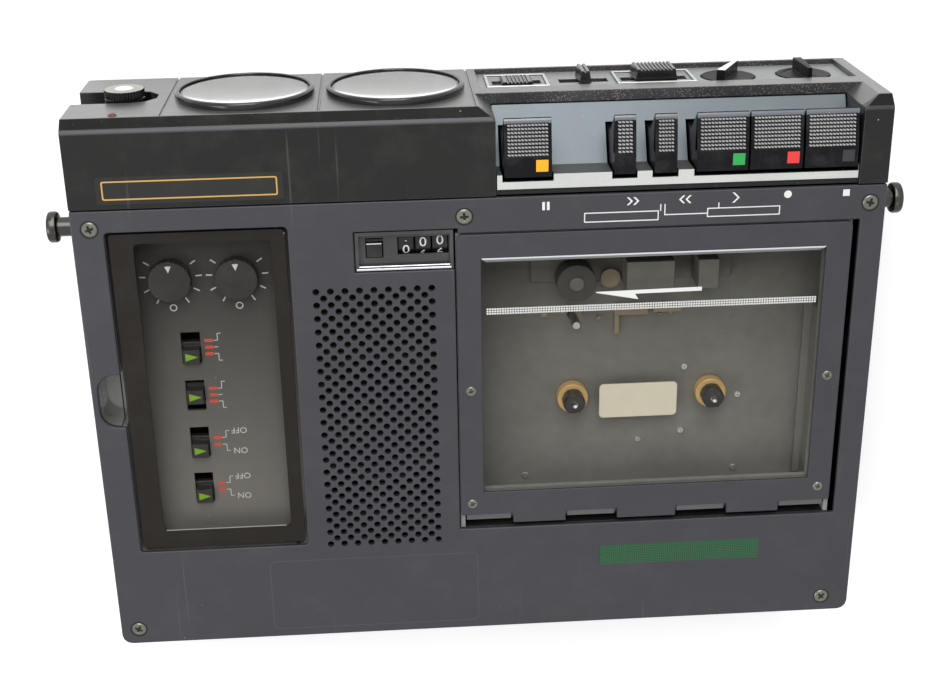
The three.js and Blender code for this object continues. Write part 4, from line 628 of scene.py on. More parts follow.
class Solid:
    """A closed mesh under construction, in datum millimetres."""

    def __init__(self) -> None:
        """Starts empty."""
        self.mesh = bmesh.new()

    @classmethod
    def of_node(cls, node: str) -> "Solid":
        """A merged copy of a CAD node, with its flat faces joined.

        Args:
            node: The node's name.

        Returns:
            The copy.
        """
        solid = cls()
        solid.mesh.from_mesh(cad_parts[node].data)
        to_datum = Matrix.Translation(-DATUM) @ Matrix.Scale(1 / MM, 4)
        bmesh.ops.transform(solid.mesh, matrix=to_datum, verts=solid.mesh.verts)
        bmesh.ops.remove_doubles(solid.mesh, verts=solid.mesh.verts, dist=0.002)
        bmesh.ops.dissolve_degenerate(solid.mesh, edges=solid.mesh.edges, dist=0.002)
        bmesh.ops.dissolve_limit(
            solid.mesh,
            angle_limit=math.radians(0.6),
            verts=solid.mesh.verts,
            edges=solid.mesh.edges,
            delimit={"NORMAL"},
        )
        return solid

    def row(self, points: Iterable[Sequence[float]]) -> Row:
        """Adds a row of vertices."""
        return [self.mesh.verts.new(point) for point in points]

    def band(self, lower: Row, upper: Row) -> list[bmesh.types.BMFace]:
        """Joins two closed rows of one length with faces.

        Args:
            lower: The first row.
            upper: The second row.

        Returns:
            The faces.
        """
        count = len(lower)
        faces = []
        for step in range(count):
            following = (step + 1) % count
            faces.append(self.mesh.faces.new((lower[step], lower[following], upper[following], upper[step])))
        return faces

    def closed(self, faces: Sequence[bmesh.types.BMFace], finish: int = 0) -> "Solid":
        """Gives new faces their finish and turns them outwards.

        Args:
            faces: The faces of one closed shape.
            finish: The index of their finish.

        Returns:
            This solid.
        """
        for face in faces:
            face.material_index = finish
        bmesh.ops.recalc_face_normals(self.mesh, faces=faces)
        return self

    def hoop(self, rings: Sequence[tuple[Outline, float]]) -> "Solid":
        """Adds a closed hoop whose section runs through outlines of one length.

        Args:
            rings: Each outline with its height.

        Returns:
            This solid.
        """
        rows = [self.row((u, v, height) for u, v in outline) for outline, height in rings]
        faces: list[bmesh.types.BMFace] = []
        for lower, upper in zip(rows, rows[1:] + rows[:1]):
            faces += self.band(lower, upper)
        return self.closed(faces)

    def prism(self, outline: Outline, axis: Axis, span: Range, finish: int = 0) -> "Solid":
        """Adds an outline pushed along an axis.

        Args:
            outline: Points (y, z) for X, (x, z) for Y and (x, y) for Z.
            axis: The direction.
            span: The start and end along it.
            finish: The index of the finish of these faces.

        Returns:
            This solid.
        """
        low = self.row(place(axis, u, v, span[0]) for u, v in outline)
        high = self.row(place(axis, u, v, span[1]) for u, v in outline)
        faces = [self.mesh.faces.new(low), self.mesh.faces.new(high), *self.band(low, high)]
        return self.closed(faces, finish)

    def block(self, x: Range, y: Range, z: Range, finish: int = 0) -> "Solid":
        """Adds a box."""
        return self.prism([(x[0], y[0]), (x[1], y[0]), (x[1], y[1]), (x[0], y[1])], Axis.Z, z, finish)

    def turned(self, profile: Outline, axis: Axis, centre: Point2, steps: int = 48) -> "Solid":
        """Adds a profile of (radius, height) points turned about an axis, from axis to axis or closed.

        Args:
            profile: The profile. Points on the axis have a radius of zero.
            axis: The axis of turning.
            centre: The axis's place, as an outline's coordinates.
            steps: The number of facets.

        Returns:
            This solid.
        """
        rings: list[Row] = []
        for radius, height in profile:
            if radius == 0:
                rings.append(self.row([place(axis, *centre, height)]))
                continue
            rings.append(self.row(place(axis, u, v, height) for u, v in circle(centre, radius, steps)))
        pairs = list(zip(rings, rings[1:]))
        if profile[0][0] > 0:
            pairs.append((rings[-1], rings[0]))
        faces = []
        for lower, upper in pairs:
            if len(lower) == 1 and len(upper) == 1:
                continue
            for step in range(steps):
                following = (step + 1) % steps
                corners = [lower[step % len(lower)], lower[following % len(lower)]]
                corners += [upper[following % len(upper)], upper[step % len(upper)]]
                faces.append(self.mesh.faces.new(list(dict.fromkeys(corners))))
        return self.closed(faces)

    def rod(self, radius: float, span: Range, axis: Axis, centre: Point2, steps: int) -> "Solid":
        """Adds a plain cylinder along an axis."""
        profile = [(0, span[0]), (radius, span[0]), (radius, span[1]), (0, span[1])]
        return self.turned(profile, axis, centre, steps)

    def bevel(
        self, width: float, segments: int = 2, angle: float = 30.0, test: FaceTest | None = None
    ) -> "Solid":
        """Rounds every edge that is sharper than an angle.

        Args:
            width: The width of the rounding.
            segments: The number of facets across it.
            angle: The least angle between faces, in degrees.
            test: Takes the edge's middle and direction and says if it is rounded. All are by default.

        Returns:
            This solid.
        """
        limit = math.radians(angle)
        edges = []
        for edge in self.mesh.edges:
            if len(edge.link_faces) != 2 or edge.calc_face_angle(0.0) < limit:
                continue
            ends = edge.verts[0].co, edge.verts[1].co
            if test is None or test((ends[0] + ends[1]) / 2, (ends[1] - ends[0]).normalized()):
                edges.append(edge)
        bmesh.ops.bevel(
            self.mesh,
            geom=edges,
            offset=width,
            segments=segments,
            profile=0.5,
            affect="EDGES",
            clamp_overlap=True,
        )
        return self

    def paint(self, finish: int, test: FaceTest) -> "Solid":
        """Gives a finish to the faces that a test picks by their middle and normal.

        Args:
            finish: The finish's index.
            test: Takes the face's middle and normal.

        Returns:
            This solid.
        """
        self.mesh.normal_update()
        for face in self.mesh.faces:
            if test(face.calc_center_median(), face.normal):
                face.material_index = finish
        return self

    def taken(self, name: str, matrix: Matrix) -> bpy.types.Mesh:
        """Moves the solid by a matrix and turns it into a mesh.

        Args:
            name: The mesh's name.
            matrix: The matrix.

        Returns:
            The mesh. The solid is used up.
        """
        bmesh.ops.transform(self.mesh, matrix=matrix, verts=self.mesh.verts)
        data = bpy.data.meshes.new(name)
        self.mesh.to_mesh(data)
        self.mesh.free()
        return data

    def absorb(self, data: bpy.types.Mesh) -> None:
        """Takes a mesh in millimetres into the solid and removes it."""
        self.mesh.from_mesh(data)
        bpy.data.meshes.remove(data)

    def raw(
        self, name: str, finishes: Iterable[Finish | ClearFinish], smooth: float = 35.0
    ) -> bpy.types.Object:
        """Turns the solid into an object in metres that rides on nothing yet.

        Args:
            name: The object's name.
            finishes: The finishes by index.
            smooth: Edges sharper than this many degrees stay sharp.

        Returns:
            The object.
        """
        data = self.taken(name, Matrix.Scale(MM, 4) @ Matrix.Translation(DATUM))
        for finish in finishes:
            data.materials.append(finish.material())
        data.shade_smooth()
        data.set_sharp_from_angle(angle=math.radians(smooth))
        return linked(name, data)

    def piece(
        self,
        name: str,
        body: str,
        finishes: Iterable[Finish | ClearFinish],
        slot: str,
        stands_for: Sequence[str] = (),
        smooth: float = 35.0,
    ) -> bpy.types.Object:
        """Finishes the solid as a piece of the recorder.

        Args:
            name: The piece's name.
            body: The CAD body it rides on.
            finishes: The finishes by index.
            slot: The record's material slot; not used here.
            stands_for: The CAD nodes that it replaces.
            smooth: Edges sharper than this many degrees stay sharp.

        Returns:
            The object.
        """
        made = self.raw(name, finishes, smooth)
        weighted = made.modifiers.new("even shading", "WEIGHTED_NORMAL")
        weighted.keep_sharp = True
        return settle(made, body, stands_for)


def settle(made: bpy.types.Object, body: str, stands_for: Sequence[str] = ()) -> bpy.types.Object:
    """Lets an object ride on a body and hides what it stands for.

    Args:
        made: The object.
        body: The CAD body.
        stands_for: The CAD nodes that it replaces.

    Returns:
        The object.
    """
    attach(made, body)
    if stands_for:
        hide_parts(*stands_for)
    LOG.info("piece %s on %s, %d faces", made.name, body, len(made.data.polygons))
    return made


def softened(
    node: str,
    body: str,
    finishes: Iterable[Finish],
    slot: str,
    width: float = 0.25,
    segments: int = 2,
    paints: Sequence[tuple[int, FaceTest]] = (),
) -> bpy.types.Object:
    """Replaces a CAD node with a copy that has its edges rounded.

    Args:
        node: The node's name.
        body: The CAD body it rides on.
        finishes: The finishes by index.
        slot: The record's material slot.
        width: The width of the rounding in millimetres.
        segments: The number of facets across it.
        paints: Finish indices with the test for their faces, in order.

    Returns:
        The object.
    """
    solid = Solid.of_node(node)
    solid.bevel(width, segments)
    for finish, test in paints:
        solid.paint(finish, test)
    return solid.piece(node + "_dressed", body, finishes, slot, (node,))


def lettering(words: str, height: float, thickness: float = 0.05) -> bpy.types.Mesh:
    """Makes plain generic characters as a thin closed mesh about the origin, in millimetres.

    Args:
        words: The characters.
        height: The height of a capital.
        thickness: The print's thickness.

    Returns:
        The mesh.
    """
    curve = bpy.data.curves.new("characters", "FONT")
    curve.body = words
    curve.size = height / 0.7
    curve.align_x = "CENTER"
    curve.align_y = "CENTER"
    curve.extrude = thickness / 2
    curve.resolution_u = 3
    holder = linked("characters", curve)
    data = evaluated_mesh(holder)
    bpy.data.objects.remove(holder)
    bpy.data.curves.remove(curve)
    return data


class Repeat:
    """A Geometry Nodes tree that sets copies of a shape on points and makes them one mesh."""

    _tree: bpy.types.NodeTree | None = None

    @classmethod
    def tree(cls) -> bpy.types.NodeTree:
        """Builds the tree once: shape, size and finish are its named inputs.

        Returns:
            The tree.
        """
        if cls._tree is not None:
            return cls._tree
        inputs = {"Points": "Geometry", "Shape": "Object", "Size": 1.0, "Finish": "Material"}
        nodes = group("GeometryNodeTree", "set on points", inputs, {"Mesh": "Geometry"})
        entry = nodes.add("NodeGroupInput").outputs
        shape = nodes.add("GeometryNodeObjectInfo", Object=entry["Shape"])
        turn = nodes.add("GeometryNodeInputNamedAttribute", data_type="FLOAT_VECTOR", Name="turn")
        spot = nodes.add(
            "GeometryNodeInstanceOnPoints",
            Points=entry["Points"],
            Instance=shape.outputs["Geometry"],
            Rotation=turn.outputs["Attribute"],
            Scale=entry["Size"],
        )
        real = nodes.add("GeometryNodeRealizeInstances", spot.outputs[0])
        dressed = nodes.add("GeometryNodeSetMaterial", Geometry=real.outputs[0], Material=entry["Finish"])
        nodes.add("NodeGroupOutput", dressed.outputs[0])
        cls._tree = nodes.tree
        return cls._tree

    @classmethod
    def on(
        cls,
        name: str,
        shape: Solid,
        spots: Sequence[Vector],
        finish: Finish,
        body: str,
        slot: str,
        turns: Sequence[Vector] | None = None,
        smooth: float = 35.0,
    ) -> bpy.types.Object:
        """Sets a shape on spots and finishes the result as one piece.

        Args:
            name: The piece's name.
            shape: The shape about the origin, in millimetres.
            spots: The points in datum millimetres.
            finish: The finish.
            body: The CAD body it rides on.
            slot: The record's material slot; not used here.
            turns: The turn of each copy in radians about X, Y and Z.
            smooth: Edges sharper than this many degrees stay sharp.

        Returns:
            The piece.
        """
        pattern = linked(name + "_shape", shape.taken(name + "_shape", Matrix.Scale(MM, 4)))
        points = bpy.data.meshes.new(name + "_points")
        points.from_pydata([tuple((spot + DATUM) * MM) for spot in spots], [], [])
        layer = points.attributes.new("turn", "FLOAT_VECTOR", "POINT")
        for index in range(len(spots)):
            layer.data[index].vector = turns[index] if turns else (0.0, 0.0, 0.0)
        carrier = linked(name + "_points", points)
        joined = run_tree(carrier, cls.tree(), {"Shape": pattern, "Finish": finish.material()})
        joined.name = name
        bpy.data.objects.remove(carrier)
        bpy.data.objects.remove(pattern)
        joined.shade_smooth()
        joined.set_sharp_from_angle(angle=math.radians(smooth))
        return settle(linked(name, joined), body)


class Perforation:
    """A Geometry Nodes tree that cuts two nested grids of round holes through a plate."""

    @staticmethod
    def tree() -> bpy.types.NodeTree:
        """Builds the tree with the field's sizes as named inputs.

        Returns:
            The tree.
        """
        inputs = {
            "Plate": "Geometry",
            "Pitch": 0.0041,
            "Hole Radius": 0.001,
            "Depth": 0.004,
            "Columns": 9,
            "Rows": 21,
            "Hole Sides": 14,
            "Centre": "Vector",
            "Finish": "Material",
        }
        nodes = group("GeometryNodeTree", "perforated field", inputs, {"Mesh": "Geometry"})
        entry = nodes.add("NodeGroupInput").outputs
        drill = nodes.add(
            "GeometryNodeMeshCylinder",
            Vertices=entry["Hole Sides"],
            Radius=entry["Hole Radius"],
            Depth=entry["Depth"],
        )
        both = nodes.add("GeometryNodeJoinGeometry")
        for fewer in (0.0, 1.0):
            counts = [nodes.math("SUBTRACT", entry[label], fewer) for label in ("Columns", "Rows")]
            gaps = [nodes.math("SUBTRACT", count, 1.0) for count in counts]
            sizes = [nodes.math("MULTIPLY", gap, entry["Pitch"]) for gap in gaps]
            grid = nodes.add("GeometryNodeMeshGrid", *sizes, *counts)
            spot = nodes.add(
                "GeometryNodeInstanceOnPoints", Points=grid.outputs["Mesh"], Instance=drill.outputs["Mesh"]
            )
            moved = nodes.add("GeometryNodeTransform", Geometry=spot.outputs[0], Translation=entry["Centre"])
            nodes.feed(both.inputs[0], moved.outputs[0])
        real = nodes.add("GeometryNodeRealizeInstances", both.outputs[0])
        cut = nodes.add(
            "GeometryNodeMeshBoolean",
            entry["Plate"],
            real.outputs[0],
            operation="DIFFERENCE",
            solver="MANIFOLD",
        )
        dressed = nodes.add("GeometryNodeSetMaterial", Geometry=cut.outputs[0], Material=entry["Finish"])
        nodes.add("NodeGroupOutput", dressed.outputs[0])
        return nodes.tree


@dataclass(frozen=True)
class Screws:
    """Pan-head screws of one size with a cross recess, set at one height by Geometry Nodes."""

    name: str
    body: str
    spots: tuple[Point2, ...]
    seat: float
    radius: float
    height: float
    first_turn: float = 0.0
    turn_step: float = 0.0
    finish: Finish = Finishes.SCREW
    sides: int = 24
    ARM_SHARE: ClassVar[float] = 0.16
    REACH_SHARE: ClassVar[float] = 0.56
    SHOULDER_SHARE: ClassVar[float] = 0.82
    RIM_SHARE: ClassVar[float] = 0.55
    PIT_SHARE: ClassVar[float] = 0.7
    PIT_HEIGHT_SHARE: ClassVar[float] = 0.35

    def build(self) -> None:
        """Builds the screws as one piece."""
        spots = [Vector((x, y, self.seat)) for x, y in self.spots]
        turns = [Vector((0.0, 0.0, self.first_turn + self.turn_step * index)) for index in range(len(spots))]
        Repeat.on(self.name, self.head(), spots, self.finish, self.body, "steel", turns)

    def head(self) -> Solid:
        """One head about the origin, its rim's underside at height 0.

        Returns:
            The solid in millimetres.
        """
        solid = Solid()
        arm = self.radius * self.ARM_SHARE
        reach = self.radius * self.REACH_SHARE
        cross = [
            (reach, arm), (arm, arm), (arm, reach), (-arm, reach), (-arm, arm), (-reach, arm),
            (-reach, -arm), (-arm, -arm), (-arm, -reach), (arm, -reach), (arm, -arm), (reach, -arm),
        ]
        rim = circle((0, 0), self.radius, self.sides)
        shoulder = circle((0, 0), self.radius * self.SHOULDER_SHARE, self.sides)
        steps = ((rim, 0.0), (rim, self.height * self.RIM_SHARE), (shoulder, self.height))
        rows = [solid.row((u, v, height) for u, v in outline) for outline, height in steps]
        solid.mesh.faces.new(rows[0])
        for lower, upper in zip(rows, rows[1:]):
            solid.band(lower, upper)
        lip = solid.row((u, v, self.height) for u, v in cross)
        floor = self.height * self.PIT_HEIGHT_SHARE
        pit = solid.row((u * self.PIT_SHARE, v * self.PIT_SHARE, floor) for u, v in cross)
        solid.mesh.faces.new(pit)
        solid.band(lip, pit)
        edges = [edge for edge in solid.mesh.edges if edge.is_boundary]
        bmesh.ops.triangle_fill(solid.mesh, edges=edges, use_beauty=True)
        return solid.closed(solid.mesh.faces[:])


def ring_print(name: str, outer: Outline, inner: Outline, z: Range, finish: Finish, slot: str) -> None:
    """A thin closed ring on the case between two outlines with the same number of points."""
    rings = ((outer, z[0]), (outer, z[1]), (inner, z[1]), (inner, z[0]))
    Solid().hoop(rings).piece(name, "case", [finish], slot)


@dataclass
class Casing:
    """Bottom case, battery door, top plate, speaker field and the plate's screws."""

    scoop_x: float = 104.3
    scoop_y: Range = (49.0, 67.0)
    scoop_z: Range = (-8.2, -1.65)
    screws: tuple[Point2, ...] = ((108.9, 5.6), (5.5, 5.6), (-109.5, 5.6), (108.6, 135.5), (-105.5, 135.5))
    screw_radius: float = 2.25
    seat_margin: float = 0.35
    seat_z: Range = (-0.02, 0.01)
    field_x: Range = (12.6, 50.4)
    field_y: Range = (23.9, 110.9)
    pitch: float = 4.1
    hole_radius: float = 1.0
    drill_depth: float = 4.0
    plate_thickness: float = 1.6
    label_x: Range = (3.1, 67.0)
    label_y: Range = (113.6, 138.0)
    label_line: float = 0.25
    label_corners: Range = (2.0, 1.8)
    label_z: Range = (-0.02, 0.012)

    def build(self) -> None:
        """Builds every piece of the casing."""
        # The finger scoop in the case gets the light painted reflection.
        scoop = (
            1,
            lambda centre, normal: centre.x > self.scoop_x
            and within(centre.y, self.scoop_y)
            and within(centre.z, self.scoop_z),
        )
        softened("bottom_case", "case", [Finishes.CASE, Finishes.NOTCH], "black_plastic", 0.35, 2, [scoop])
        softened("battery_door", "battery_door", [Finishes.CASE], "black_plastic", 0.2)
        plate = Solid.of_node("top_plate").bevel(0.4, 3, 30.0, self.outside_field)
        plate.piece("top_plate_dressed", "case", [Finishes.SLATE], "slate_paint", ("top_plate",))
        self.speaker_field()
        Screws(
            "plate_screws", "case", self.screws, seat=-0.45, radius=self.screw_radius, height=0.7,
            first_turn=0.35, turn_step=1.3,
        ).build()
        seats = Solid()
        for spot in self.screws:
            seats.rod(self.screw_radius + self.seat_margin, self.seat_z, Axis.Z, spot, 48)
        seats.piece("screw_seats", "case", [Finishes.BAR], "black_plastic")
        self.label_outline()

    def outside_field(self, spot: Vector, direction: Vector) -> bool:
        """Says if an edge of the plate lies outside the speaker field, whose seam stays closed."""
        return not (within(spot.x, shrunk(self.field_x, -1)) and within(spot.y, shrunk(self.field_y, -1)))

    def speaker_field(self) -> None:
        """Cuts the round holes of the speaker field by Geometry Nodes."""
        plate = Solid().block(self.field_x, self.field_y, (-self.plate_thickness, 0.0))
        made = plate.raw("speaker_field", [Finishes.SLATE], 30.0)
        centre = Vector((sum(self.field_x) / 2, sum(self.field_y) / 2, -self.plate_thickness / 2))
        values = {
            "Pitch": self.pitch * MM,
            "Hole Radius": self.hole_radius * MM,
            "Depth": self.drill_depth * MM,
            "Centre": tuple((centre + DATUM) * MM),
            "Finish": Finishes.SLATE.material(),
        }
        made.data = run_tree(made, Perforation.tree(), values)
        made.data.set_sharp_from_angle(angle=math.radians(30))
        settle(made, "case", ("speaker_grille",))

    def label_outline(self) -> None:
        """The faint round-cornered place of a blank label near the rear edge."""
        x, y = (shrunk(span, self.label_line) for span in (self.label_x, self.label_y))
        outer = rounded(self.label_x, self.label_y, self.label_corners[0])
        inner = rounded(x, y, self.label_corners[1])
        ring_print("blank_label_outline", outer, inner, self.label_z, Finishes.FAINT, "slate_paint")


@dataclass
class FrontBar:
    """The black bar over the front, its bare badge plate, the front panel and the record lamp."""

    crease_y: Range = (-22.5, -20.5)
    ledge_end: float = 5.0
    ledge_drop: float = -15.0
    cup_x: Range = (90.0, 109.0)
    cup_y: float = -24.3
    badge_x: Range = (55.0, 106.0)
    badge_y: Range = (-9.2, -1.4)
    badge_margin: Point2 = (1.6, 1.2)
    badge_line: float = 0.4
    badge_z: Range = (-0.3, 0.03)
    badge_line_z: Range = (0.02, 0.045)
    lamp: Point2 = (100.2, -5.7)
    lamp_profile: tuple[Point2, ...] = ((0, 0.5), (1.3, 0.5), (1.3, -0.1), (0.9, -0.5), (0, -0.7))
    front: float = -24.8
    CHAMFER: ClassVar[Vector] = Vector((0.0, -0.729, 0.685))
    SAME_WAY: ClassVar[float] = 0.998
    TILTED: ClassVar[float] = 0.13

    def build(self) -> None:
        """Builds the bar, the badge plate, the panel and the lamp."""
        bar = Solid.of_node("front_bar")
        bar.bevel(1.0, 5, 20.0, lambda spot, direction: spot.z > -0.2 and within(spot.y, self.crease_y))
        bar.bevel(0.45, 3)
        # The rounded edges get the lighter copy of the moulding as a painted highlight.
        bar.paint(1, self.rounding)
        # The chamfer faces get the darker copy of the moulding as painted shade.
        bar.paint(2, lambda centre, normal: normal.dot(self.CHAMFER) >= self.SAME_WAY)
        finishes = [Finishes.BAR, Finishes.BAR_EDGE, Finishes.BAR_SLOPE]
        bar.piece("front_bar_dressed", "case", finishes, "black_plastic", ("front_bar",))
        ledge = (
            1,
            lambda centre, normal: normal.z > 0.7
            and centre.z < self.ledge_drop
            and centre.x < self.ledge_end,
        )
        # The faces inside the level knob's cup take the black knob finish as painted shade.
        cup = (2, lambda centre, normal: within(centre.x, self.cup_x) and centre.y > self.cup_y)
        finishes = [Finishes.PANEL, Finishes.LEDGE, Finishes.KNOB]
        softened("front_panel", "case", finishes, "black_plastic", 0.3, 2, [ledge, cup])
        self.badge()
        profile = [(radius, self.front + depth) for radius, depth in self.lamp_profile]
        glass = Solid().turned(profile, Axis.Y, self.lamp, 24)
        glass.piece("record_lamp", "case", [Finishes.LAMP], "black_plastic")

    def badge(self) -> None:
        """Builds the bare badge plate and the gold line round it."""
        plate = Solid().prism(rounded(self.badge_x, self.badge_y, 0.8), Axis.Z, self.badge_z)
        plate.piece("bare_badge_plate", "case", [Finishes.BADGE], "black_plastic")
        x, y = (shrunk(span, by) for span, by in zip((self.badge_x, self.badge_y), self.badge_margin))
        inner = rounded(shrunk(x, self.badge_line), shrunk(y, self.badge_line), 0.4)
        outer = rounded(x, y, 0.6)
        ring_print("badge_line", outer, inner, self.badge_line_z, Finishes.GOLD, "black_plastic")

    @staticmethod
    def rounding(centre: Vector, normal: Vector) -> bool:
        """Says if a face of the bar is part of a rounded edge, between the large faces; these get a painted
        highlight.
        """
        tilted = sum(1 for part in normal if abs(part) > FrontBar.TILTED)
        return tilted > 1 and normal.dot(FrontBar.CHAMFER) < FrontBar.SAME_WAY


class KeyName(Enum):
    """The piano keys from the left end of the bay, each with its range in X."""

    STOP = ("stop", -104.8, -89.8)
    RECORD = ("record", -89.2, -74.4)
    PLAY = ("play", -73.9, -59.4)
    REVIEW = ("review", -53.9, -47.7)
    CUE = ("cue", -42.4, -36.4)
    PAUSE = ("pause", -19.0, -5.8)


@dataclass
class KeyBay:
    """The slotted sheet and the piano keys with their knurled slopes and coloured inserts."""

    knurl_start: Point2 = (-10.9, -0.3)
    knurl_end: Point2 = (-19.9, -1.98)
    knurl_rows: int = 9
    knurl_pitch: float = 0.95
    knurl_height: float = 0.34
    knurl_gap: float = 0.05
    tooth_shares: tuple[Point2, ...] = ((-0.92, 0.85), (-0.92, -0.35), (0.92, -0.85), (0.92, 0.35))
    tooth_fill_share: float = 0.98
    crest_shares: Point2 = (0.72, 0.62)
    cheek: float = 0.85
    cheek_outline: tuple[Point2, ...] = ((-10.7, -3.0), (-10.7, -0.02), (-20.05, -1.68), (-20.05, -3.0))
    insert_inset: float = 0.9
    insert_size: float = 3.6
    insert_y: Range = (-10.1, -6.55)
    insert_z: Range = (-0.4, 0.02)
    wall_z: Range = (-9.6, -0.55)
    wall_front: float = -6.2
    fold_rear: float = -6.5
    top: tuple[Point2, ...] = ((-5.1, 0.0), (-10.7, 0.0), (-10.9, -0.05))
    nose: tuple[Point2, ...] = (
        (-20.0, -1.66), (-20.8, -1.85), (-21.2, -2.1), (-21.4, -2.5), (-21.25, -2.95), (-20.85, -3.3),
    )
    nose_rear: float = -19.9
    nose_low: float = -2.3
    stem: tuple[Point2, ...] = ((-15.1, -9.4), (-15.1, -19.4), (-9.0, -19.4), (-5.1, -11.2))
    arm: tuple[Point2, ...] = ((-9.2, -11.2), (-9.2, -17.2), (5.5, -16.0))
    arm_end: Point2 = (5.5, -11.2)
    arm_inset: float = 0.6
    shaft: Point2 = (5.5, -13.0)
    hub_radius: float = 3.0
    INSERTS: ClassVar[dict[KeyName, Finish]] = {
        KeyName.STOP: Finishes.KEY_DARK,
        KeyName.RECORD: Finishes.KEY_RED,
        KeyName.PLAY: Finishes.KEY_GREEN,
        KeyName.PAUSE: Finishes.KEY_YELLOW,
    }

    def build(self) -> None:
        """Builds the sheet and each key."""
        wall = (1, lambda centre, normal: within(centre.z, self.wall_z) and centre.y > self.wall_front)
        rail = (2, lambda centre, normal: centre.z > self.wall_z[1] and normal.z > 0.4)
        slanted = (0.2, 0.95)
        # Slanted faces along the slot edges get the pale rail colour as a painted highlight.
        slot_edge_highlights = (2, lambda centre, normal: within(abs(normal.x), slanted) and centre.y < self.fold_rear)
        finishes = [Finishes.BAY, Finishes.BAY_WALL, Finishes.RAIL]
        softened("key_bay_trim", "case", finishes, "bay_sheet", 0.12, 1, [wall, rail, slot_edge_highlights])
        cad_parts["key_shaft"].data.materials.clear()
        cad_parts["key_shaft"].data.materials.append(Finishes.STEEL.material())
        for key in KeyName:
            self.key(key)

    def key(self, key: KeyName) -> None:
        """Builds one key: its body, the knurl on its slope and its insert.

        Args:
            key: The key.
        """
        name, low, high = key.value
        body = name + "_key"
        side = [*self.top, self.knurl_start, self.knurl_end, *self.nose, *self.stem]
        solid = Solid().prism(side, Axis.X, (low, high))
        for span in ((low, low + self.cheek), (high - self.cheek, high)):
            solid.prism(self.cheek_outline, Axis.X, span)
        arm = [*self.arm, *arc(self.shaft, self.hub_radius, -80, 90, 8), self.arm_end]
        solid.prism(arm, Axis.X, shrunk((low, high), self.arm_inset))
        solid.bevel(0.16, 2, 40.0)
        # The nose top gets the painted highlight.
        solid.paint(1, self.on_nose)
        solid.piece(body + "_dressed", body, [Finishes.KEY, Finishes.KEY_NOSE], "key_black", (body,))
        self.knurl(name, body, low, high)
        if key in self.INSERTS:
            start = low + self.insert_inset
            insert = Solid().block((start, start + self.insert_size), self.insert_y, self.insert_z)
            insert.bevel(0.15, 2, 40.0)
            insert.piece(name + "_insert", body, [self.INSERTS[key]], "key_black")

    def on_nose(self, centre: Vector, normal: Vector) -> bool:
        """Says if a face of a key belongs to the top of its nose, which gets a painted highlight."""
        return centre.y < self.nose_rear and centre.z > self.nose_low and normal.z > 0.6

    def knurl(self, name: str, body: str, low: float, high: float) -> None:
        """Sets rows of small slanted bars on the key's slope by Geometry Nodes.

        Args:
            name: The key's short name.
            body: The CAD body.
            low: The key's left side.
            high: The key's right side.
        """
        start, end = (Vector((0.0, *point)) for point in (self.knurl_start, self.knurl_end))
        run = end - start
        tilt = math.atan2(-run.z, -run.y)
        step = run / self.knurl_rows
        side = self.cheek + self.knurl_gap
        columns = max(4, round((high - low - 2 * side) / self.knurl_pitch))
        width = (high - low - 2 * side) / columns
        spots = [
            Vector((low + side + (column + 0.5) * width, 0.0, 0.0)) + start + step * (row + 0.5)
            for row in range(self.knurl_rows)
            for column in range(columns)
        ]
        half_x, half_y = width / 2 * self.tooth_fill_share, step.length / 2 * self.tooth_fill_share
        (wide, deep), height = self.crest_shares, self.knurl_height
        tip = Solid()
        base = tip.row((u * half_x, v * half_y, -0.05) for u, v in self.tooth_shares)
        crest = tip.row((u * wide * half_x, v * deep * half_y, height) for u, v in self.tooth_shares)
        tip.closed([tip.mesh.faces.new(base), tip.mesh.faces.new(crest), *tip.band(base, crest)])
        turns = [Vector((tilt, 0.0, 0.0))] * len(spots)
        # The knurl teeth carry the light grey painted glint.
        Repeat.on(name + "_knurl", tip, spots, Finishes.KNURL, body, "key_black", turns, 5.0)


@dataclass
class ControlTray:
    """The front control recess with its slide controls and dials."""

    frame_y: float = -23.6
    bar_y: float = -26.3
    slides: tuple[str, ...] = ("slide_knob_right", "slide_knob_middle", "slide_knob_left")

    def build(self) -> None:
        """Builds the tray, the slide controls and the dials."""
        walls = (1, lambda centre, normal: abs(normal.y) < 0.5)
        rim = (2, lambda centre, normal: centre.y < self.frame_y and normal.y < -0.3)
        finishes = [Finishes.CONTROL, Finishes.LEDGE, Finishes.RAIL]
        softened("control_tray", "case", finishes, "bay_sheet", 0.15, 1, [walls, rim])
        # The front faces of the slide knobs' ribs get the light grey painted highlight.
        crest = (1, lambda centre, normal: normal.y < -0.9)
        for name in self.slides:
            softened(name, name, [Finishes.KNOB, Finishes.GRIP], "key_black", 0.12, 1, [crest])
        crest = (1, lambda centre, normal: centre.y < self.bar_y and normal.y < -0.9)
        softened("dial_right", "dial_right", [Finishes.DIAL, Finishes.PRINT], "key_black", 0.15, 2, [crest])
        softened("dial_left", "dial_left", [Finishes.DIAL], "key_black", 0.15, 2)


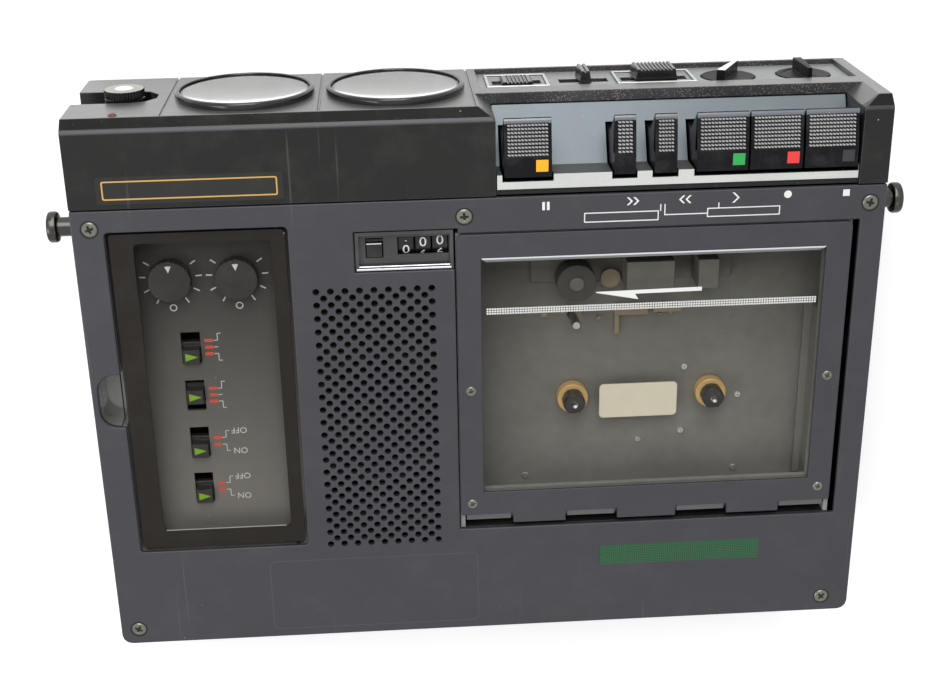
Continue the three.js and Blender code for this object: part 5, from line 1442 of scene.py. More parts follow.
@dataclass
class LevelMeters:
    """Both round level meters with ring, face, scale, needle and lens."""

    centres: tuple[float, float] = (65.85, 23.15)
    drop: float = -26.0
    rim: float = -26.8
    face_depth: float = 7.3
    facets: int = 96
    pivot_drop: float = 9.5
    lens_radius: float = 18.1
    lens_dome: float = 0.5
    scale_radius: float = 20.0
    scale_line: float = 0.6
    hot_rise: float = 0.4
    tick_lengths: Range = (1.8, 1.0)
    tick_half: float = 0.18
    scale_ends: Range = (135.0, 45.0)
    hot_start: float = 72.0
    ticks: int = 11
    print_depth: Range = (-0.06, 0.02)

    def build(self) -> None:
        """Builds the right and the left meter."""
        for side, x in zip(("right", "left"), self.centres):
            self.ring(side, x)
            self.scale(side, x)
            self.lens(side, x)
            needle = "meter_needle_" + side
            softened(needle, needle, [Finishes.NEEDLE], "painted_alloy", 0.05, 1)

    def ring(self, side: str, x: float) -> None:
        """Builds the glossy ring with the face and the housing behind it.

        Args:
            side: Right or left.
            x: The meter's centre.
        """
        rim, face = self.rim, self.rim + self.face_depth
        profile = [
            (0, face), (17.4, face), (17.4, rim + 1.6), (18.3, rim + 1.6), (18.3, rim + 0.25),
            (18.45, rim + 0.05), (18.75, rim), (19.15, rim), (19.5, rim + 0.15), (19.7, rim + 0.45),
            (19.75, rim + 0.9), (19.75, rim + 2.0), (18.4, rim + 2.0), (18.4, rim + 8.8), (10, rim + 8.8),
            (10, rim + 18.8), (0, rim + 18.8),
        ]
        solid = Solid().turned(profile, Axis.Y, (x, self.drop), self.facets)
        solid.paint(1, lambda centre, normal: within(centre.y, middle(face, 0.1)) and normal.y < -0.9)
        finishes = [Finishes.METER_RING, Finishes.METER]
        solid.piece("meter_ring_" + side, "case", finishes, "meter_plastic", ("meter_body_" + side,))

    def scale(self, side: str, x: float) -> None:
        """Prints the arc and plain ticks of the scale.

        Args:
            side: Right or left.
            x: The meter's centre.
        """
        face = self.rim + self.face_depth
        z = (face + self.print_depth[0], face + self.print_depth[1])
        pivot = (x, self.drop - self.pivot_drop)
        radius, (start, end), hot = self.scale_radius, self.scale_ends, self.hot_start
        inner = radius - self.scale_line
        solid = Solid()
        dark = arc(pivot, radius, start, hot, 20) + arc(pivot, inner, hot, start, 20)
        red = arc(pivot, radius + self.hot_rise, hot, end, 10) + arc(pivot, inner, end, hot, 10)
        solid.prism(dark, Axis.Y, z, 0)
        solid.prism(red, Axis.Y, z, 1)
        for index in range(self.ticks):
            angle = start + (end - start) * index / (self.ticks - 1)
            reach = (radius, radius + self.tick_lengths[index % 2])
            solid.prism(spoke(pivot, angle, reach, self.tick_half), Axis.Y, z, 1 if angle < hot - 6 else 0)
        solid.piece("meter_scale_" + side, "case", [Finishes.NEEDLE, Finishes.PRINT_RED], "meter_plastic")

    def lens(self, side: str, x: float) -> None:
        """Builds the slightly domed lens.

        Args:
            side: Right or left.
            x: The meter's centre.
        """
        rim, radius = self.rim, self.lens_radius
        steps = [math.radians(angle) for angle in range(0, 90, 15)]
        dome = [(radius * math.cos(step), rim + 0.6 - self.lens_dome * math.sin(step)) for step in steps]
        profile = [(0, rim + 1.6), (radius, rim + 1.6), *dome, (0, rim + 0.1)]
        solid = Solid().turned(profile, Axis.Y, (x, self.drop), self.facets)
        solid.piece("meter_lens_" + side, "case", [Finishes.LENS], "meter_lens", ("meter_glass_" + side,))


@dataclass
class LevelKnobs:
    """The two recording level knobs in their recess: knurled rings and a slotted silver cap."""

    x: float = 99.9
    drop: float = -27.0
    front: float = -27.2
    teeth: int = 40
    tooth_depth: float = 0.28
    rings: int = 3
    groove: float = 0.25
    radii: Point2 = (5.65, 6.1)
    shafts: Point2 = (1.4, 2.6)
    inner_end: float = -19.8
    outer_span: Range = (-19.5, -14.3)
    tail_ends: Point2 = (-5.8, -9.5)
    cap_step: float = 0.2
    cap_profile: tuple[Point2, ...] = ((0, 0.8), (2.6, 0.8), (2.6, 0.1), (2.4, 0.0), (0, 0.0))
    cap_slot: tuple[Point2, ...] = ((-2.3, -0.5), (-2.2, -0.9), (2.3, 0.5), (2.2, 0.9))

    def build(self) -> None:
        """Builds both knobs and the cap."""
        names = ("level_knob_inner", "level_knob_outer")
        spans = ((self.front, self.inner_end), self.outer_span)
        for name, radius, span, shaft, end in zip(names, self.radii, spans, self.shafts, self.tail_ends):
            self.knob(name, radius, span, shaft, end)
        face = self.front - self.cap_step
        profile = [(radius, face + depth) for radius, depth in self.cap_profile]
        cap = Solid().turned(profile, Axis.Y, (self.x, self.drop), 36)
        cap.piece("level_knob_cap", "level_knob_inner", [Finishes.PRINT], "steel")
        outline = [(self.x + across, self.drop + up) for across, up in self.cap_slot]
        slot = Solid().prism(outline, Axis.Y, (face - 0.03, face + 0.2))
        slot.piece("level_knob_slot", "level_knob_inner", [Finishes.KNOB_TOP], "key_black")

    def knob(self, node: str, radius: float, span: Range, shaft: float, end: float) -> None:
        """Builds one knob of stacked toothed rings.

        Args:
            node: The node and body.
            radius: The outer radius.
            span: The knob's front and rear.
            shaft: The radius of its shaft.
            end: Where the shaft ends.
        """
        centre = (self.x, self.drop)
        outline = []
        for tooth in range(2 * self.teeth):
            angle = math.pi * tooth / self.teeth
            reach = radius - self.tooth_depth * (tooth % 2)
            outline.append((centre[0] + reach * math.cos(angle), centre[1] + reach * math.sin(angle)))
        solid = Solid()
        step = (span[1] - span[0]) / self.rings
        for index in range(self.rings):
            front = span[0] + index * step + (0.0 if index == 0 else self.groove)
            rear = span[0] + (index + 1) * step - (0.0 if index == self.rings - 1 else self.groove)
            solid.prism(outline, Axis.Y, (front, rear))
        solid.rod(radius - 0.6, (span[0] + 0.2, span[1]), Axis.Y, centre, 36)
        solid.rod(shaft, (span[1] - 0.1, end), Axis.Y, centre, 24)
        solid.paint(1, lambda centre, normal: normal.y < -0.9 and centre.y < self.front + 0.3)
        solid.piece(node + "_dressed", node, [Finishes.KNOB, Finishes.KNOB_TOP], "key_black", (node,))


@dataclass
class CassetteDoor:
    """The cassette door: cover, frame, window with its prints, trim strip, screws and hinge bars."""

    window_x: Range = (-98.0, 1.0)
    window_y: Range = (18.1, 93.0)
    inner_x: Range = (-99.5, 2.5)
    inner_y: Range = (17.0, 94.5)
    pane_top: float = -1.3
    screws: tuple[Point2, ...] = ((4.4, 59.3), (-101.4, 58.8), (4.5, 96.8), (-101.4, 96.0))
    dots: tuple[int, int] = (130, 3)
    dot_pitch: Point2 = (0.74, 0.7)
    dot_corner: Point2 = (-96.6, 33.75)
    dot_half: Point2 = (0.27, 0.25)
    print_height: float = 0.04
    arrow: tuple[Point2, ...] = (
        (-62.8, 29.6), (-62.8, 30.8), (-43.4, 31.0), (-44.4, 32.7), (-32.1, 30.3), (-32.1, 30.0),
    )
    trim_section: tuple[tuple[float, float, float], ...] = (
        (0.0, 0.0, 0.0), (0.5, -0.1, 0.5), (1.55, -1.15, 1.5), (1.55, -1.28, 1.5), (0.0, -1.28, 0.0),
    )

    def build(self) -> None:
        """Builds every piece of the door."""
        body = "cassette_door"
        softened("door_cover", body, [Finishes.SLATE], "slate_paint", 0.22, 2)
        # The frame's faces inside the window take the deck's painted veil.
        inside = (
            1,
            lambda centre, normal: within(centre.x, self.inner_x) and within(centre.y, self.inner_y),
        )
        softened("door_frame", body, [Finishes.CASE, Finishes.DECK], "black_plastic", 0.15, 1, [inside])
        softened("door_window", body, [Finishes.SMOKE], "smoked_pane", 0.15, 1)
        softened("door_hinge", "case", [Finishes.HINGE], "steel", 0.15, 2)
        self.trim()
        self.prints()
        Screws(
            "door_screws", body, self.screws, seat=-0.35, radius=1.55, height=0.55, first_turn=0.2,
            turn_step=0.9,
        ).build()

    def trim(self) -> None:
        """The two-tone strip along the window's front edge, with mitred ends."""
        y = self.window_y[0]
        solid = Solid()
        rows = [
            solid.row((x, y + depth, z) for x in shrunk(self.window_x, mitre))
            for depth, z, mitre in self.trim_section
        ]
        solid.mesh.faces.new([row[0] for row in rows])
        solid.mesh.faces.new([row[1] for row in rows])
        for index, (lower, upper) in enumerate(zip(rows, rows[1:] + rows[:1])):
            face = solid.mesh.faces.new((lower[0], lower[1], upper[1], upper[0]))
            face.material_index = 1 if index == 1 else 0
        bmesh.ops.recalc_face_normals(solid.mesh, faces=solid.mesh.faces)
        solid.piece("window_trim", "cassette_door", [Finishes.SILVER, Finishes.RAIL], "steel", (), 5.0)

    def prints(self) -> None:
        """The arrow and the fine dotted band on the window."""
        z = (self.pane_top + 0.01, self.pane_top + 0.05)
        mark = Solid().prism(self.arrow, Axis.Z, z)
        mark.piece("window_arrow", "cassette_door", [Finishes.PRINT], "smoked_pane")
        across, along = (middle(0, half) for half in self.dot_half)
        dot = Solid().block(across, along, (0.0, self.print_height))
        (left, front), (across, along) = self.dot_corner, self.dot_pitch
        spots = [
            Vector((left + across * (column + 0.5), front + along * (row + 0.5), z[0]))
            for column in range(self.dots[0])
            for row in range(self.dots[1])
        ]
        Repeat.on("window_dots", dot, spots, Finishes.PRINT, "cassette_door", "smoked_pane")


@dataclass
class TapeDeck:
    """The deck under the door: chassis, spindles, heads, reflector and small parts."""

    spindles: tuple[tuple[str, float], ...] = (("takeup_spindle", -27.4), ("supply_spindle", -69.9))
    y: float = 69.2
    floor: float = -17.0
    door_end: float = 98.0
    reflector_x: Range = (-59.3, -35.4)
    reflector_y: Range = (64.6, 75.8)
    reflector_height: float = 4.4
    reflector_thickness: float = 0.7
    reflector_foot: tuple[Range, Range] = ((-56.0, -39.0), (67.0, 73.5))
    block_height: float = 1.2
    brackets: tuple[tuple[Range, Range], ...] = (
        ((-50.0, -40.0), (40.2, 43.4)),
        ((-41.4, -40.0), (43.3, 49.3)),
        ((-60.2, -51.7), (41.4, 42.8)),
        ((-30.0, -27.9), (41.6, 43.9)),
    )
    pins: tuple[Point2, ...] = ((-24.6, 41.8), (-35.2, 44.0))
    pin_radius: float = 0.6
    blocks: tuple[tuple[float, float, float], ...] = (
        (-55.2, 40.6, 0.8), (-56.9, 43.2, 0.5), (-53.4, 43.4, 0.4), (-18.8, 42.4, 0.9),
    )
    block_depth_share: float = 0.8
    disc: Point2 = (-38.2, 30.75)
    disc_radius: float = 2.9
    disc_z: Range = (-17.3, -14.0)
    seam: tuple[Range, Range] = ((-80.0, -60.0), (50.0, 50.18))
    spindle_profile: tuple[Point2, ...] = (
        (0, -23.6), (10, -23.6), (10, -21.6), (1.6, -21.6), (1.6, -16.5), (4.7, -16.5), (4.7, -13.5),
        (4.5, -13.3), (3.3, -13.3), (3.3, -9.9), (2.8, -9.3), (1.25, -9.1), (1.0, -8.2), (0.6, -7.6),
        (0, -7.5),
    )
    cap_base: float = -13.25
    tip_base: float = -9.05
    fins: int = 6
    fin_reach: Range = (2.4, 3.38)
    fin_half: float = 0.4
    fin_z: Range = (-13.4, -9.6)
    screws: tuple[Point2, ...] = (
        (-62.0, 61.4), (-79.0, 71.5), (-61.6, 83.1), (-48.3, 85.5), (-79.0, 96.9), (-13.1, 96.6),
    )

    def build(self) -> None:
        """Builds every piece of the deck."""
        behind = (1, lambda centre, normal: centre.y > self.door_end)
        # The chassis under the window takes the painted veil; the part behind the door stays black.
        softened("deck_chassis", "case", [Finishes.DECK, Finishes.CASE], "black_plastic", 0.3, 1, [behind])
        for node, x in self.spindles:
            self.spindle(node, x)
        # The head plate takes the deck's painted veil.
        softened("head_plate", "head_plate", [Finishes.DECK], "painted_alloy", 0.2, 1)
        softened("pinch_roller", "pinch_roller", [Finishes.RUBBER], "rubber", 0.3, 2)
        softened("capstan_flywheel", "capstan_flywheel", [Finishes.STEEL], "steel", 0.2, 1)
        softened("motor", "case", [Finishes.STEEL], "steel", 0.2, 1)
        softened("motor_pulley", "motor_pulley", [Finishes.STEEL], "steel", 0.2, 1)
        softened("drive_belt", "case", [Finishes.BELT], "rubber", 0.2, 1)
        Screws(
            "deck_screws", "case", self.screws, seat=self.floor, radius=1.0, height=0.6,
            finish=Finishes.RAIL,
        ).build()
        self.small_parts()

    def spindle(self, node: str, x: float) -> None:
        """Builds a reel spindle: drive wheel, collar, finned cap and bright tip.

        Args:
            node: The node and body.
            x: The spindle's centre.
        """
        centre = (x, self.y)
        solid = Solid().turned(self.spindle_profile, Axis.Z, centre, 40)
        solid.paint(1, lambda spot, normal: spot.z > self.cap_base)
        solid.paint(2, lambda spot, normal: spot.z > self.tip_base)
        for index in range(self.fins):
            fin = spoke(centre, 360 / self.fins * index, self.fin_reach, self.fin_half)
            solid.prism(fin, Axis.Z, self.fin_z, 1)
        # The finned cap takes the painted pane veil.
        finishes = [Finishes.COPPER, Finishes.HAZED, Finishes.SILVER]
        solid.piece(node + "_dressed", node, finishes, "spindle_plastic", (node,))

    def small_parts(self) -> None:
        """The cream reflector, the brackets, the bright blocks, a disc and a seam on the deck."""
        top = self.floor + self.reflector_height
        span = (top - self.reflector_thickness, top)
        plate = Solid().prism(rounded(self.reflector_x, self.reflector_y, 1.4), Axis.Z, span)
        plate.bevel(0.25, 2, 40.0)
        # The foot under the reflector takes the deck's painted veil.
        plate.block(*self.reflector_foot, (self.floor + 0.02, top - 0.6), 1)
        plate.piece("tape_reflector", "case", [Finishes.CREAM, Finishes.DECK], "black_plastic")
        z = (self.floor, self.floor + self.block_height)
        bracket = Solid()
        for x_range, y_range in self.brackets:
            bracket.block(x_range, y_range, z)
        for spot in self.pins:
            bracket.rod(self.pin_radius, z, Axis.Z, spot, 16)
        for x, y, half in self.blocks:
            bracket.block(middle(x, half), middle(y, half * self.block_depth_share), z)
        bracket.piece("deck_brackets", "case", [Finishes.COLLAR], "black_plastic")
        disc = Solid().rod(self.disc_radius, self.disc_z, Axis.Z, self.disc, 32)
        disc.piece("head_plate_disc", "head_plate", [Finishes.COLLAR], "painted_alloy")
        seam = Solid().block(*self.seam, (self.floor, self.floor + 0.1))
        seam.piece("deck_seam", "case", [Finishes.COLLAR], "black_plastic")


@dataclass
class LidBay:
    """The smoked lid, the tray under it with its marks, the trim knobs and the slide switches."""

    x: Range = (55.6, 104.4)
    y: Range = (7.6, 107.6)
    clear_x: Range = (59.6, 97.8)
    clear_y: Range = (10.6, 102.0)
    floor: float = -8.0
    knobs: tuple[float, float] = (70.4, 89.3)
    knob_y: float = 23.4
    switch_x: float = 85.4
    tick_step: float = 31.2
    tick_radius: float = 8.0
    mark_height: float = 0.05
    switch_ys: tuple[float, ...] = (45.2, 60.5, 75.8, 91.1)
    switch_names: tuple[str, ...] = ("noise_switch", "tape_switch", "filter_switch", "memory_switch")
    rests: tuple[float, ...] = (2.4, 0.0, 2.4, 2.4)
    sheet_z: Range = (-1.0, 0.0)
    border_top: float = -1.25
    border_lows: Range = (-3.4, -2.0)
    hinge_pins: tuple[Range, Range] = ((5.7, 10.0), (105.0, 109.5))
    hinge_axis: Point2 = (57.8, -2.6)
    hinge_radius: float = 0.6
    rear_line: tuple[Range, Range, Range] = ((61.0, 97.0), (101.5, 101.75), (-1.2, -1.01))
    knob_height: float = 3.8
    switch_height: float = 1.6
    tick_half: Point2 = (0.9, 0.2)
    ring_radii: Range = (0.75, 1.1)
    ring_ahead: float = 9.1
    bar_x: float = 80.2
    bar_half: Point2 = (1.2, 0.48)
    leader_x: tuple[Range, Range, Range] = ((77.6, 78.8), (77.5, 77.72), (76.6, 77.6))
    leader_half: float = 0.11
    leader_rise: float = 2.16
    words_x: float = 73.6
    word_height: float = 1.9

    def build(self) -> None:
        """Builds every piece of the bay."""
        self.lid()
        # The scoop in the tray gets the light painted reflection.
        scoop = (1, lambda centre, normal: centre.x > self.x[1] + 0.1)
        # The tray under the lid takes the painted veil and shade.
        softened("lid_tray", "case", [Finishes.TRAY, Finishes.NOTCH], "black_plastic", 0.5, 3, [scoop])
        for node, x in zip(("pitch_knob", "bias_knob"), self.knobs):
            # The knobs under the lid take the painted pane veil.
            softened(node, node, [Finishes.HAZED], "key_black", 0.15, 1)
            tip = [(x - 0.9, 18.6), (x + 0.9, 18.6), (x, 20.6)]
            self.pointer(node, tip, self.knob_height, Finishes.PRINT)
        self.knob_ticks()
        self.switches()

    def lid(self) -> None:
        """Builds the smoked sheet and the brown-black border and rim under it."""
        sheet = Solid().prism(rounded(self.x, self.y, 1.2), Axis.Z, self.sheet_z)
        sheet.bevel(0.35, 3, 40.0)
        sheet.piece("lid_sheet", "smoked_lid", [Finishes.LID], "smoked_pane", ("smoked_lid",))
        outer = rounded(shrunk(self.x, 0.1), shrunk(self.y, 0.1), 1.1)
        inner = rounded(self.clear_x, self.clear_y, 1.6)
        (low, inner_low), top = self.border_lows, self.border_top
        solid = Solid().hoop(((outer, low), (outer, top), (inner, top), (inner, inner_low)))
        for span in self.hinge_pins:
            solid.rod(self.hinge_radius, span, Axis.Y, self.hinge_axis, 16)
        solid.piece("lid_border", "smoked_lid", [Finishes.BORDER], "smoked_pane")
        line = Solid().block(*self.rear_line)
        line.piece("lid_rear_line", "smoked_lid", [Finishes.RAIL], "smoked_pane")

    def pointer(self, node: str, tip: Outline, height: float, finish: Finish) -> None:
        """Lays a pointer on the top of a knob.

        Args:
            node: The knob's node and body.
            tip: The pointer's outline.
            height: The height of the knob's top over the tray.
            finish: The finish.
        """
        top = self.floor + height
        mark = Solid().prism(tip, Axis.Z, (top - 0.3, top + 0.04))
        mark.piece(node + "_pointer", node, [finish], "key_black")

    def knob_ticks(self) -> None:
        """Sets the ticks and the small rings round both knobs."""
        spots, turns = [], []
        for x in self.knobs:
            for index in (-4, -3, -2, -1, 1, 2, 3, 4):
                angle = math.radians(90 + self.tick_step * index)
                across, along = self.tick_radius * math.cos(angle), self.tick_radius * math.sin(angle)
                spots.append(Vector((x + across, self.knob_y + along, self.floor)))
                turns.append(Vector((0.0, 0.0, angle)))
        long, wide = (middle(0, half) for half in self.tick_half)
        tick = Solid().block(long, wide, (0.0, self.mark_height))
        Repeat.on("knob_ticks", tick, spots, Finishes.PRINT, "case", "black_plastic", turns)
        ring = Solid()
        low, high = self.floor, self.floor + self.mark_height
        bore, rim = self.ring_radii
        for x in self.knobs:
            profile = [(bore, low), (rim, low), (rim, high), (bore, high)]
            ring.turned(profile, Axis.Z, (x, self.knob_y + self.ring_ahead), 20)
        ring.piece("knob_rings", "case", [Finishes.PRINT], "black_plastic")

    def switches(self) -> None:
        """Builds the switch knobs, their pointers, the red bars, the leader lines and ON and OFF."""
        bars, lines = [], Solid()
        start_x, rise_x, end_x = self.leader_x
        z = (self.floor, self.floor + 0.04)
        for index, (name, y, rest) in enumerate(zip(self.switch_names, self.switch_ys, self.rests)):
            # The switches under the lid take the painted pane veil.
            softened(name, name, [Finishes.HAZED], "key_black", 0.2, 1)
            x, at = self.switch_x, y + rest
            tip = [(x + 1.7, at + 1.2), (x + 1.7, at - 1.2), (x - 1.9, at)]
            self.pointer(name, tip, self.switch_height, Finishes.PRINT_LIME)
            steps = (-2.1, 0.0, 2.1) if index < 2 else (-1.2, 1.1)
            for step in steps:
                bars.append(Vector((self.bar_x, y + step, self.floor)))
                lines.block(start_x, middle(y + step, self.leader_half), z)
                if step:
                    end = y + step + math.copysign(self.leader_rise, step)
                    lines.block(rise_x, tuple(sorted((y + step, end))), z)
                    lines.block(end_x, middle(end, self.leader_half), z)
        wide, deep = (middle(0, half) for half in self.bar_half)
        bar = Solid().block(wide, deep, (0.0, 0.06))
        Repeat.on("switch_bars", bar, bars, Finishes.PRINT_RED, "case", "black_plastic")
        lines.piece("switch_leaders", "case", [Finishes.PRINT], "black_plastic")
        words = Solid()
        for y in self.switch_ys[2:]:
            for text, shift in (("ON", 3.3), ("OFF", -3.4)):
                data = lettering(text, self.word_height)
                data.transform(Matrix.Translation((self.words_x, y + shift, self.floor + 0.03)))
                words.absorb(data)
        bmesh.ops.remove_doubles(words.mesh, verts=words.mesh.verts, dist=0.001)
        words.piece("switch_words", "case", [Finishes.PRINT], "black_plastic")


@dataclass
class Counter:
    """The tape counter: housing, wheels with plain digits and the reset button."""

    wheels: tuple[tuple[str, float, float], ...] = (
        ("counter_wheel_hundreds", 12.35, -12.5),
        ("counter_wheel_tens", 17.15, -8.6),
        ("counter_wheel_units", 21.95, 11.5),
    )
    y: float = 14.4
    z: float = -9.4
    radius: float = 6.0
    half_width: float = 2.2
    bore: float = 1.2
    digit_height: float = 2.7
    digit_turn: float = 36.0
    digit_width_share: float = 1.15
    reset_line: tuple[Range, Range, Range] = ((28.9, 33.1), (13.0, 13.25), (-1.6, -1.48))
    lip: tuple[tuple[Range, Range, Range], ...] = (
        ((9.3, 36.0), (19.55, 19.85), (-1.3, -0.6)),
        ((9.3, 36.1), (20.1, 20.75), (-1.0, -0.36)),
    )

    def build(self) -> None:
        """Builds the housing, the wheels, the reset button and the bright lip."""
        softened("counter_housing", "case", [Finishes.HOUSING], "black_plastic", 0.3, 2)
        for node, x, angle in self.wheels:
            self.wheel(node, x, angle)
        softened("reset_button", "reset_button", [Finishes.KNOB], "key_black", 0.25, 2)
        line = Solid().block(*self.reset_line)
        line.piece("reset_line", "reset_button", [Finishes.PRINT], "key_black")
        lip = Solid()
        for step in self.lip:
            lip.block(*step)
        lip.bevel(0.1, 1, 40.0)
        lip.piece("counter_lip", "case", [Finishes.SILVER], "steel")

    def wheel(self, node: str, x: float, angle: float) -> None:
        """Builds one wheel with ten digits round it.

        Args:
            node: The node and body.
            x: The wheel's middle.
            angle: How far the digit 0 stands from the top, in degrees towards the rear.
        """
        low, high = middle(x, self.half_width)
        profile = [(self.bore, low), (self.radius, low), (self.radius, high), (self.bore, high)]
        solid = Solid().turned(profile, Axis.X, (self.y, self.z), 60)
        solid.bevel(0.12, 1, 40.0)
        solid.piece(node + "_dressed", node, [Finishes.KNOB], "key_black", (node,))
        digits = Solid()
        for digit in range(10):
            data = lettering(str(digit), self.digit_height, 0.06)
            for vertex in data.vertices:
                turn = math.radians(angle - self.digit_turn * digit) + vertex.co.y / self.radius
                reach = self.radius + 0.02 + vertex.co.z
                across = vertex.co.x * self.digit_width_share
                along, up = reach * math.sin(turn), reach * math.cos(turn)
                vertex.co = (x + across, self.y + along, self.z + up)
            digits.absorb(data)
        bmesh.ops.remove_doubles(digits.mesh, verts=digits.mesh.verts, dist=0.0005)
        digits.piece(node + "_digits", node, [Finishes.PRINT], "key_black")


@dataclass
class PlateMarks:
    """The generic signs printed on the plate behind the keys, and the bare green label."""

    z: Range = (-0.02, 0.03)
    line: float = 0.3
    sign_y: float = 2.75
    stroke: float = 0.6
    pause_bars: tuple[float, float] = (-16.7, -18.0)
    bar_y: Range = (2.1, 4.5)
    chevrons: tuple[tuple[float, int, float], ...] = (
        (-41.8, -1, 1.15), (-43.6, -1, 1.15), (-56.6, 1, 1.15), (-54.8, 1, 1.15), (-72.0, -1, 1.5),
    )
    record_dot: Point2 = (-85.66, 2.32)
    record_radius: float = 1.1
    stop_square: tuple[Range, Range] = ((-103.3, -101.4), (1.5, 3.4))
    frames: tuple[tuple[Range, Range], ...] = (
        ((-49.2, -28.1), (5.7, 8.6)), ((-83.7, -62.9), (5.5, 8.2)),
    )
    lines: tuple[tuple[Range, Range], ...] = (
        ((-49.85, -49.55), (3.9, 5.9)),
        ((-51.05, -50.75), (3.9, 7.2)),
        ((-62.9, -51.05), (6.9, 7.2)),
        ((-66.3, -66.0), (4.05, 5.5)),
    )
    label: tuple[Range, Range, Range] = ((-84.2, -34.6), (113.3, 120.0), (-0.02, 0.02))
    grid_corner: Point2 = (-83.9, 113.6)
    grid_pitch: float = 0.6
    grid_size: tuple[int, int] = (83, 11)

    def build(self) -> None:
        """Builds the signs, the frames with their lines and the label."""
        solid = Solid()
        for x in self.pause_bars:
            solid.block(middle(x, 0.38), self.bar_y, self.z)
        for x, side, size in self.chevrons:
            self.chevron(solid, x, side, size)
        solid.prism(circle(self.record_dot, self.record_radius, 24), Axis.Z, self.z)
        solid.block(*self.stop_square, self.z)
        solid.piece("transport_signs", "case", [Finishes.PRINT], "slate_paint")
        for index, (x, y) in enumerate(self.frames):
            outer = rounded(x, y, 0.15, 2)
            inner = rounded(shrunk(x, self.line), shrunk(y, self.line), 0.1, 2)
            ring_print(f"sign_frame_{index}", outer, inner, self.z, Finishes.PRINT, "slate_paint")
        lines = Solid()
        for x, y in self.lines:
            lines.block(x, y, self.z)
        lines.piece("sign_lines", "case", [Finishes.PRINT], "slate_paint")
        self.green_label()

    def chevron(self, solid: Solid, x: float, side: int, size: float) -> None:
        """Adds one arrow head to the signs.

        Args:
            solid: The solid to add to.
            x: The place of its tip.
            side: 1 when the tip points right, -1 when it points left.
            size: Half its height.
        """
        y, stroke = self.sign_y, self.stroke
        near, far = side * size, side * (size + stroke)
        points = [
            (x, y), (x - near, y + size), (x - far, y + size), (x - side * stroke, y), (x - far, y - size),
            (x - near, y - size),
        ]
        solid.prism(points, Axis.Z, self.z)

    def green_label(self) -> None:
        """The green label place: a fine grid of small squares on a dark ground."""
        ground = Solid().block(*self.label)
        ground.piece("label_ground", "case", [Finishes.PRINT_GREEN], "slate_paint")
        dot = Solid().block(middle(0, 0.14), middle(0, 0.14), (0.0, 0.02))
        (left, front), pitch = self.grid_corner, self.grid_pitch
        spots = [
            Vector((left + pitch * column, front + pitch * row, 0.015))
            for column in range(self.grid_size[0])
            for row in range(self.grid_size[1])
        ]
        Repeat.on("label_grid", dot, spots, Finishes.BAR, "case", "slate_paint")


@dataclass
class SideFittings:
    """Strap studs, sockets and the parts inside the case."""

    stud_y: float = 9.2
    stud_z: float = -15.0
    wall_x: float = 114.0
    head_x: float = 123.3
    slot_depth: float = 0.6
    slot_half: Point2 = (3.6, 0.5)
    profile: tuple[Point2, ...] = (
        (0, -2.2), (2.0, -2.2), (2.0, 0.0), (4.2, 0.0), (4.2, 0.6), (4.0, 0.8), (2.8, 0.8), (2.8, 6.3),
        (3.7, 6.3), (4.2, 6.5), (4.5, 7.0), (4.5, 8.5), (4.2, 9.05), (3.6, 9.3), (0, 9.3),
    )

    def build(self) -> None:
        """Builds the studs and dresses the parts inside."""
        for side, name in ((1, "right"), (-1, "left")):
            self.stud(side, "strap_stud_" + name)
        for node, finish, slot in (
            ("mic_sockets", Finishes.STEEL, "steel"),
            ("line_sockets", Finishes.STEEL, "steel"),
            ("circuit_board", Finishes.BOARD, "board"),
            ("speaker", Finishes.CONE, "steel"),
        ):
            softened(node, "case", [finish], slot, 0.15, 1)

    def stud(self, side: int, node: str) -> None:
        """Builds a turned strap stud with a slotted head.

        Args:
            side: 1 on the right, -1 on the left.
            node: The CAD node.
        """
        outline = [(radius, side * (self.wall_x + height)) for radius, height in self.profile]
        solid = Solid().turned(outline, Axis.X, (self.stud_y, self.stud_z), 48)
        solid.piece(node + "_dressed", "case", [Finishes.CHROME], "dark_chrome", (node,))
        x = tuple(sorted((side * (self.head_x - self.slot_depth), side * (self.head_x + 0.001))))
        half_y, half_z = self.slot_half
        slot = Solid().block(x, middle(self.stud_y, half_y), middle(self.stud_z, half_z))
        slot.piece(node + "_slot", "case", [Finishes.NEEDLE], "dark_chrome")


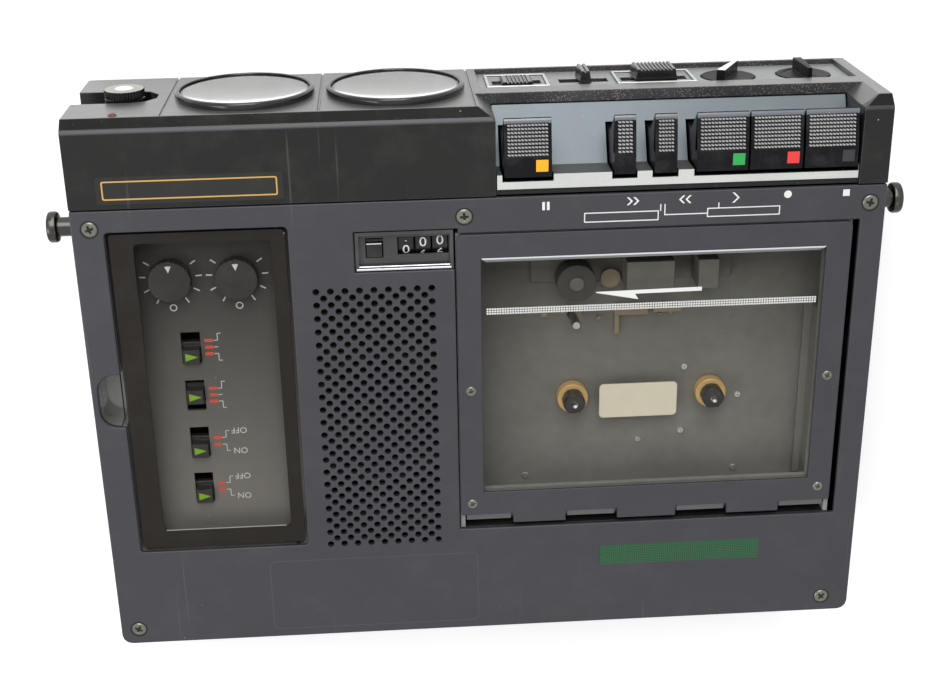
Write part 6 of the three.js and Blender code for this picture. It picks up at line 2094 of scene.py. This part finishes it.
@dataclass
class Studio:
    """Camera, floor, world and lamps."""

    eye: Vector = field(default_factory=lambda: Vector((27.468, -122.342, 393.092)))
    right: Vector = field(default_factory=lambda: Vector((-0.997893, 0.016566, 0.062724)))
    up: Vector = field(default_factory=lambda: Vector((-0.039865, -0.919354, -0.391407)))
    back: Vector = field(default_factory=lambda: Vector((0.051182, -0.393083, 0.918077)))
    lens: float = 57.1
    half_floor: float = 4.0
    paper: Colour = (0.9, 0.9, 0.9)
    paper_glow: float = 0.2
    seen_glow: float = 0.15
    far_glow: float = 0.2
    fade: Range = (0.6, 2.4)
    aim: Vector = field(default_factory=lambda: Vector((0.0, 0.0, 0.02)))
    LAMPS: ClassVar[tuple[tuple[str, Colour, float, float], ...]] = (
        ("front lamp", (0.1, -0.85, 0.85), 0.8, 9.0),
        ("side lamp", (0.85, 0.2, 0.9), 0.6, 4.0),
        ("low lamp", (0.0, -1.1, 0.32), 0.5, 3.0),
        ("window lamp", (-0.22, 0.47, 1.0), 0.26, 0.35),
    )

    def build(self) -> None:
        """Builds the whole studio."""
        self.camera()
        self.floor()
        self.world()
        self.lamps()
        bpy.context.scene.view_settings.view_transform = "Standard"

    def camera(self) -> None:
        """Sets the camera where the photograph was taken from."""
        data = bpy.data.cameras.new("camera")
        data.lens = self.lens
        data.sensor_width = 36.0
        data.clip_start = 0.01
        made = linked("camera", data)
        turn = Matrix((self.right, self.up, self.back)).transposed().to_4x4()
        made.matrix_world = Matrix.Translation((self.eye + DATUM) * MM) @ turn
        bpy.context.scene.camera = made

    def floor(self) -> None:
        """Lays a pale floor that keeps the soft shadow."""
        data = bpy.data.meshes.new("floor")
        half = self.half_floor
        corners = [(-half, -half, 0), (half, -half, 0), (half, half, 0), (-half, half, 0)]
        data.from_pydata(corners, [], [(0, 1, 2, 3)])
        paper = bpy.data.materials.new("pale floor")
        nodes = Nodes.of(paper)
        matt = nodes.add("ShaderNodeBsdfDiffuse", Color=self.paper)
        path = nodes.add("ShaderNodeLightPath")
        where = nodes.add("ShaderNodeTexCoord").outputs["Object"]
        reach = nodes.add("ShaderNodeVectorMath", operation="LENGTH", Vector=where).outputs["Value"]
        far = nodes.math("MULTIPLY", nodes.ramp(reach, *self.fade), self.far_glow)
        extra = nodes.math("ADD", self.seen_glow, far)
        extra = nodes.math("MULTIPLY", path.outputs["Is Camera Ray"], extra)
        glow = nodes.add("ShaderNodeEmission", Strength=nodes.math("ADD", self.paper_glow, extra))
        both = nodes.add("ShaderNodeAddShader", matt.outputs[0], glow.outputs[0])
        nodes.add("ShaderNodeOutputMaterial", Surface=both.outputs[0])
        data.materials.append(paper)
        linked("floor", data)

    def world(self) -> None:
        """Gives the camera, metal and glass a white surrounding and the rest a soft ambient."""
        made = bpy.data.worlds.new("studio")
        bpy.context.scene.world = made
        nodes = Nodes.of(made)
        path = nodes.add("ShaderNodeLightPath").outputs
        seen = nodes.math("MAXIMUM", path["Is Camera Ray"], path["Is Glossy Ray"])
        seen = nodes.math("MAXIMUM", seen, path["Is Transmission Ray"])
        strength = nodes.math("ADD", 0.5, nodes.math("MULTIPLY", seen, 0.5))
        sky = nodes.add("ShaderNodeBackground", Color=(1.0, 1.0, 1.0), Strength=strength)
        nodes.add("ShaderNodeOutputWorld", Surface=sky.outputs[0])

    def lamps(self) -> None:
        """Hangs the soft lamps: none is mirrored by the lid, and the small one lights up the window."""
        for name, spot, size, power in self.LAMPS:
            data = bpy.data.lights.new(name, "AREA")
            data.size = size
            data.energy = power
            made = linked(name, data)
            made.location = spot
            direction = self.aim - Vector(spot)
            made.rotation_euler = direction.to_track_quat("-Z", "Y").to_euler()


def main() -> None:
    """Builds the sub-assemblies in order."""
    Studio().build()
    for part in (
        Casing(),
        FrontBar(),
        KeyBay(),
        ControlTray(),
        LevelMeters(),
        LevelKnobs(),
        CassetteDoor(),
        TapeDeck(),
        LidBay(),
        Counter(),
        PlateMarks(),
        SideFittings(),
    ):
        LOG.info("building %s", type(part).__name__)
        part.build()


if __name__ == "__main__":
    main()
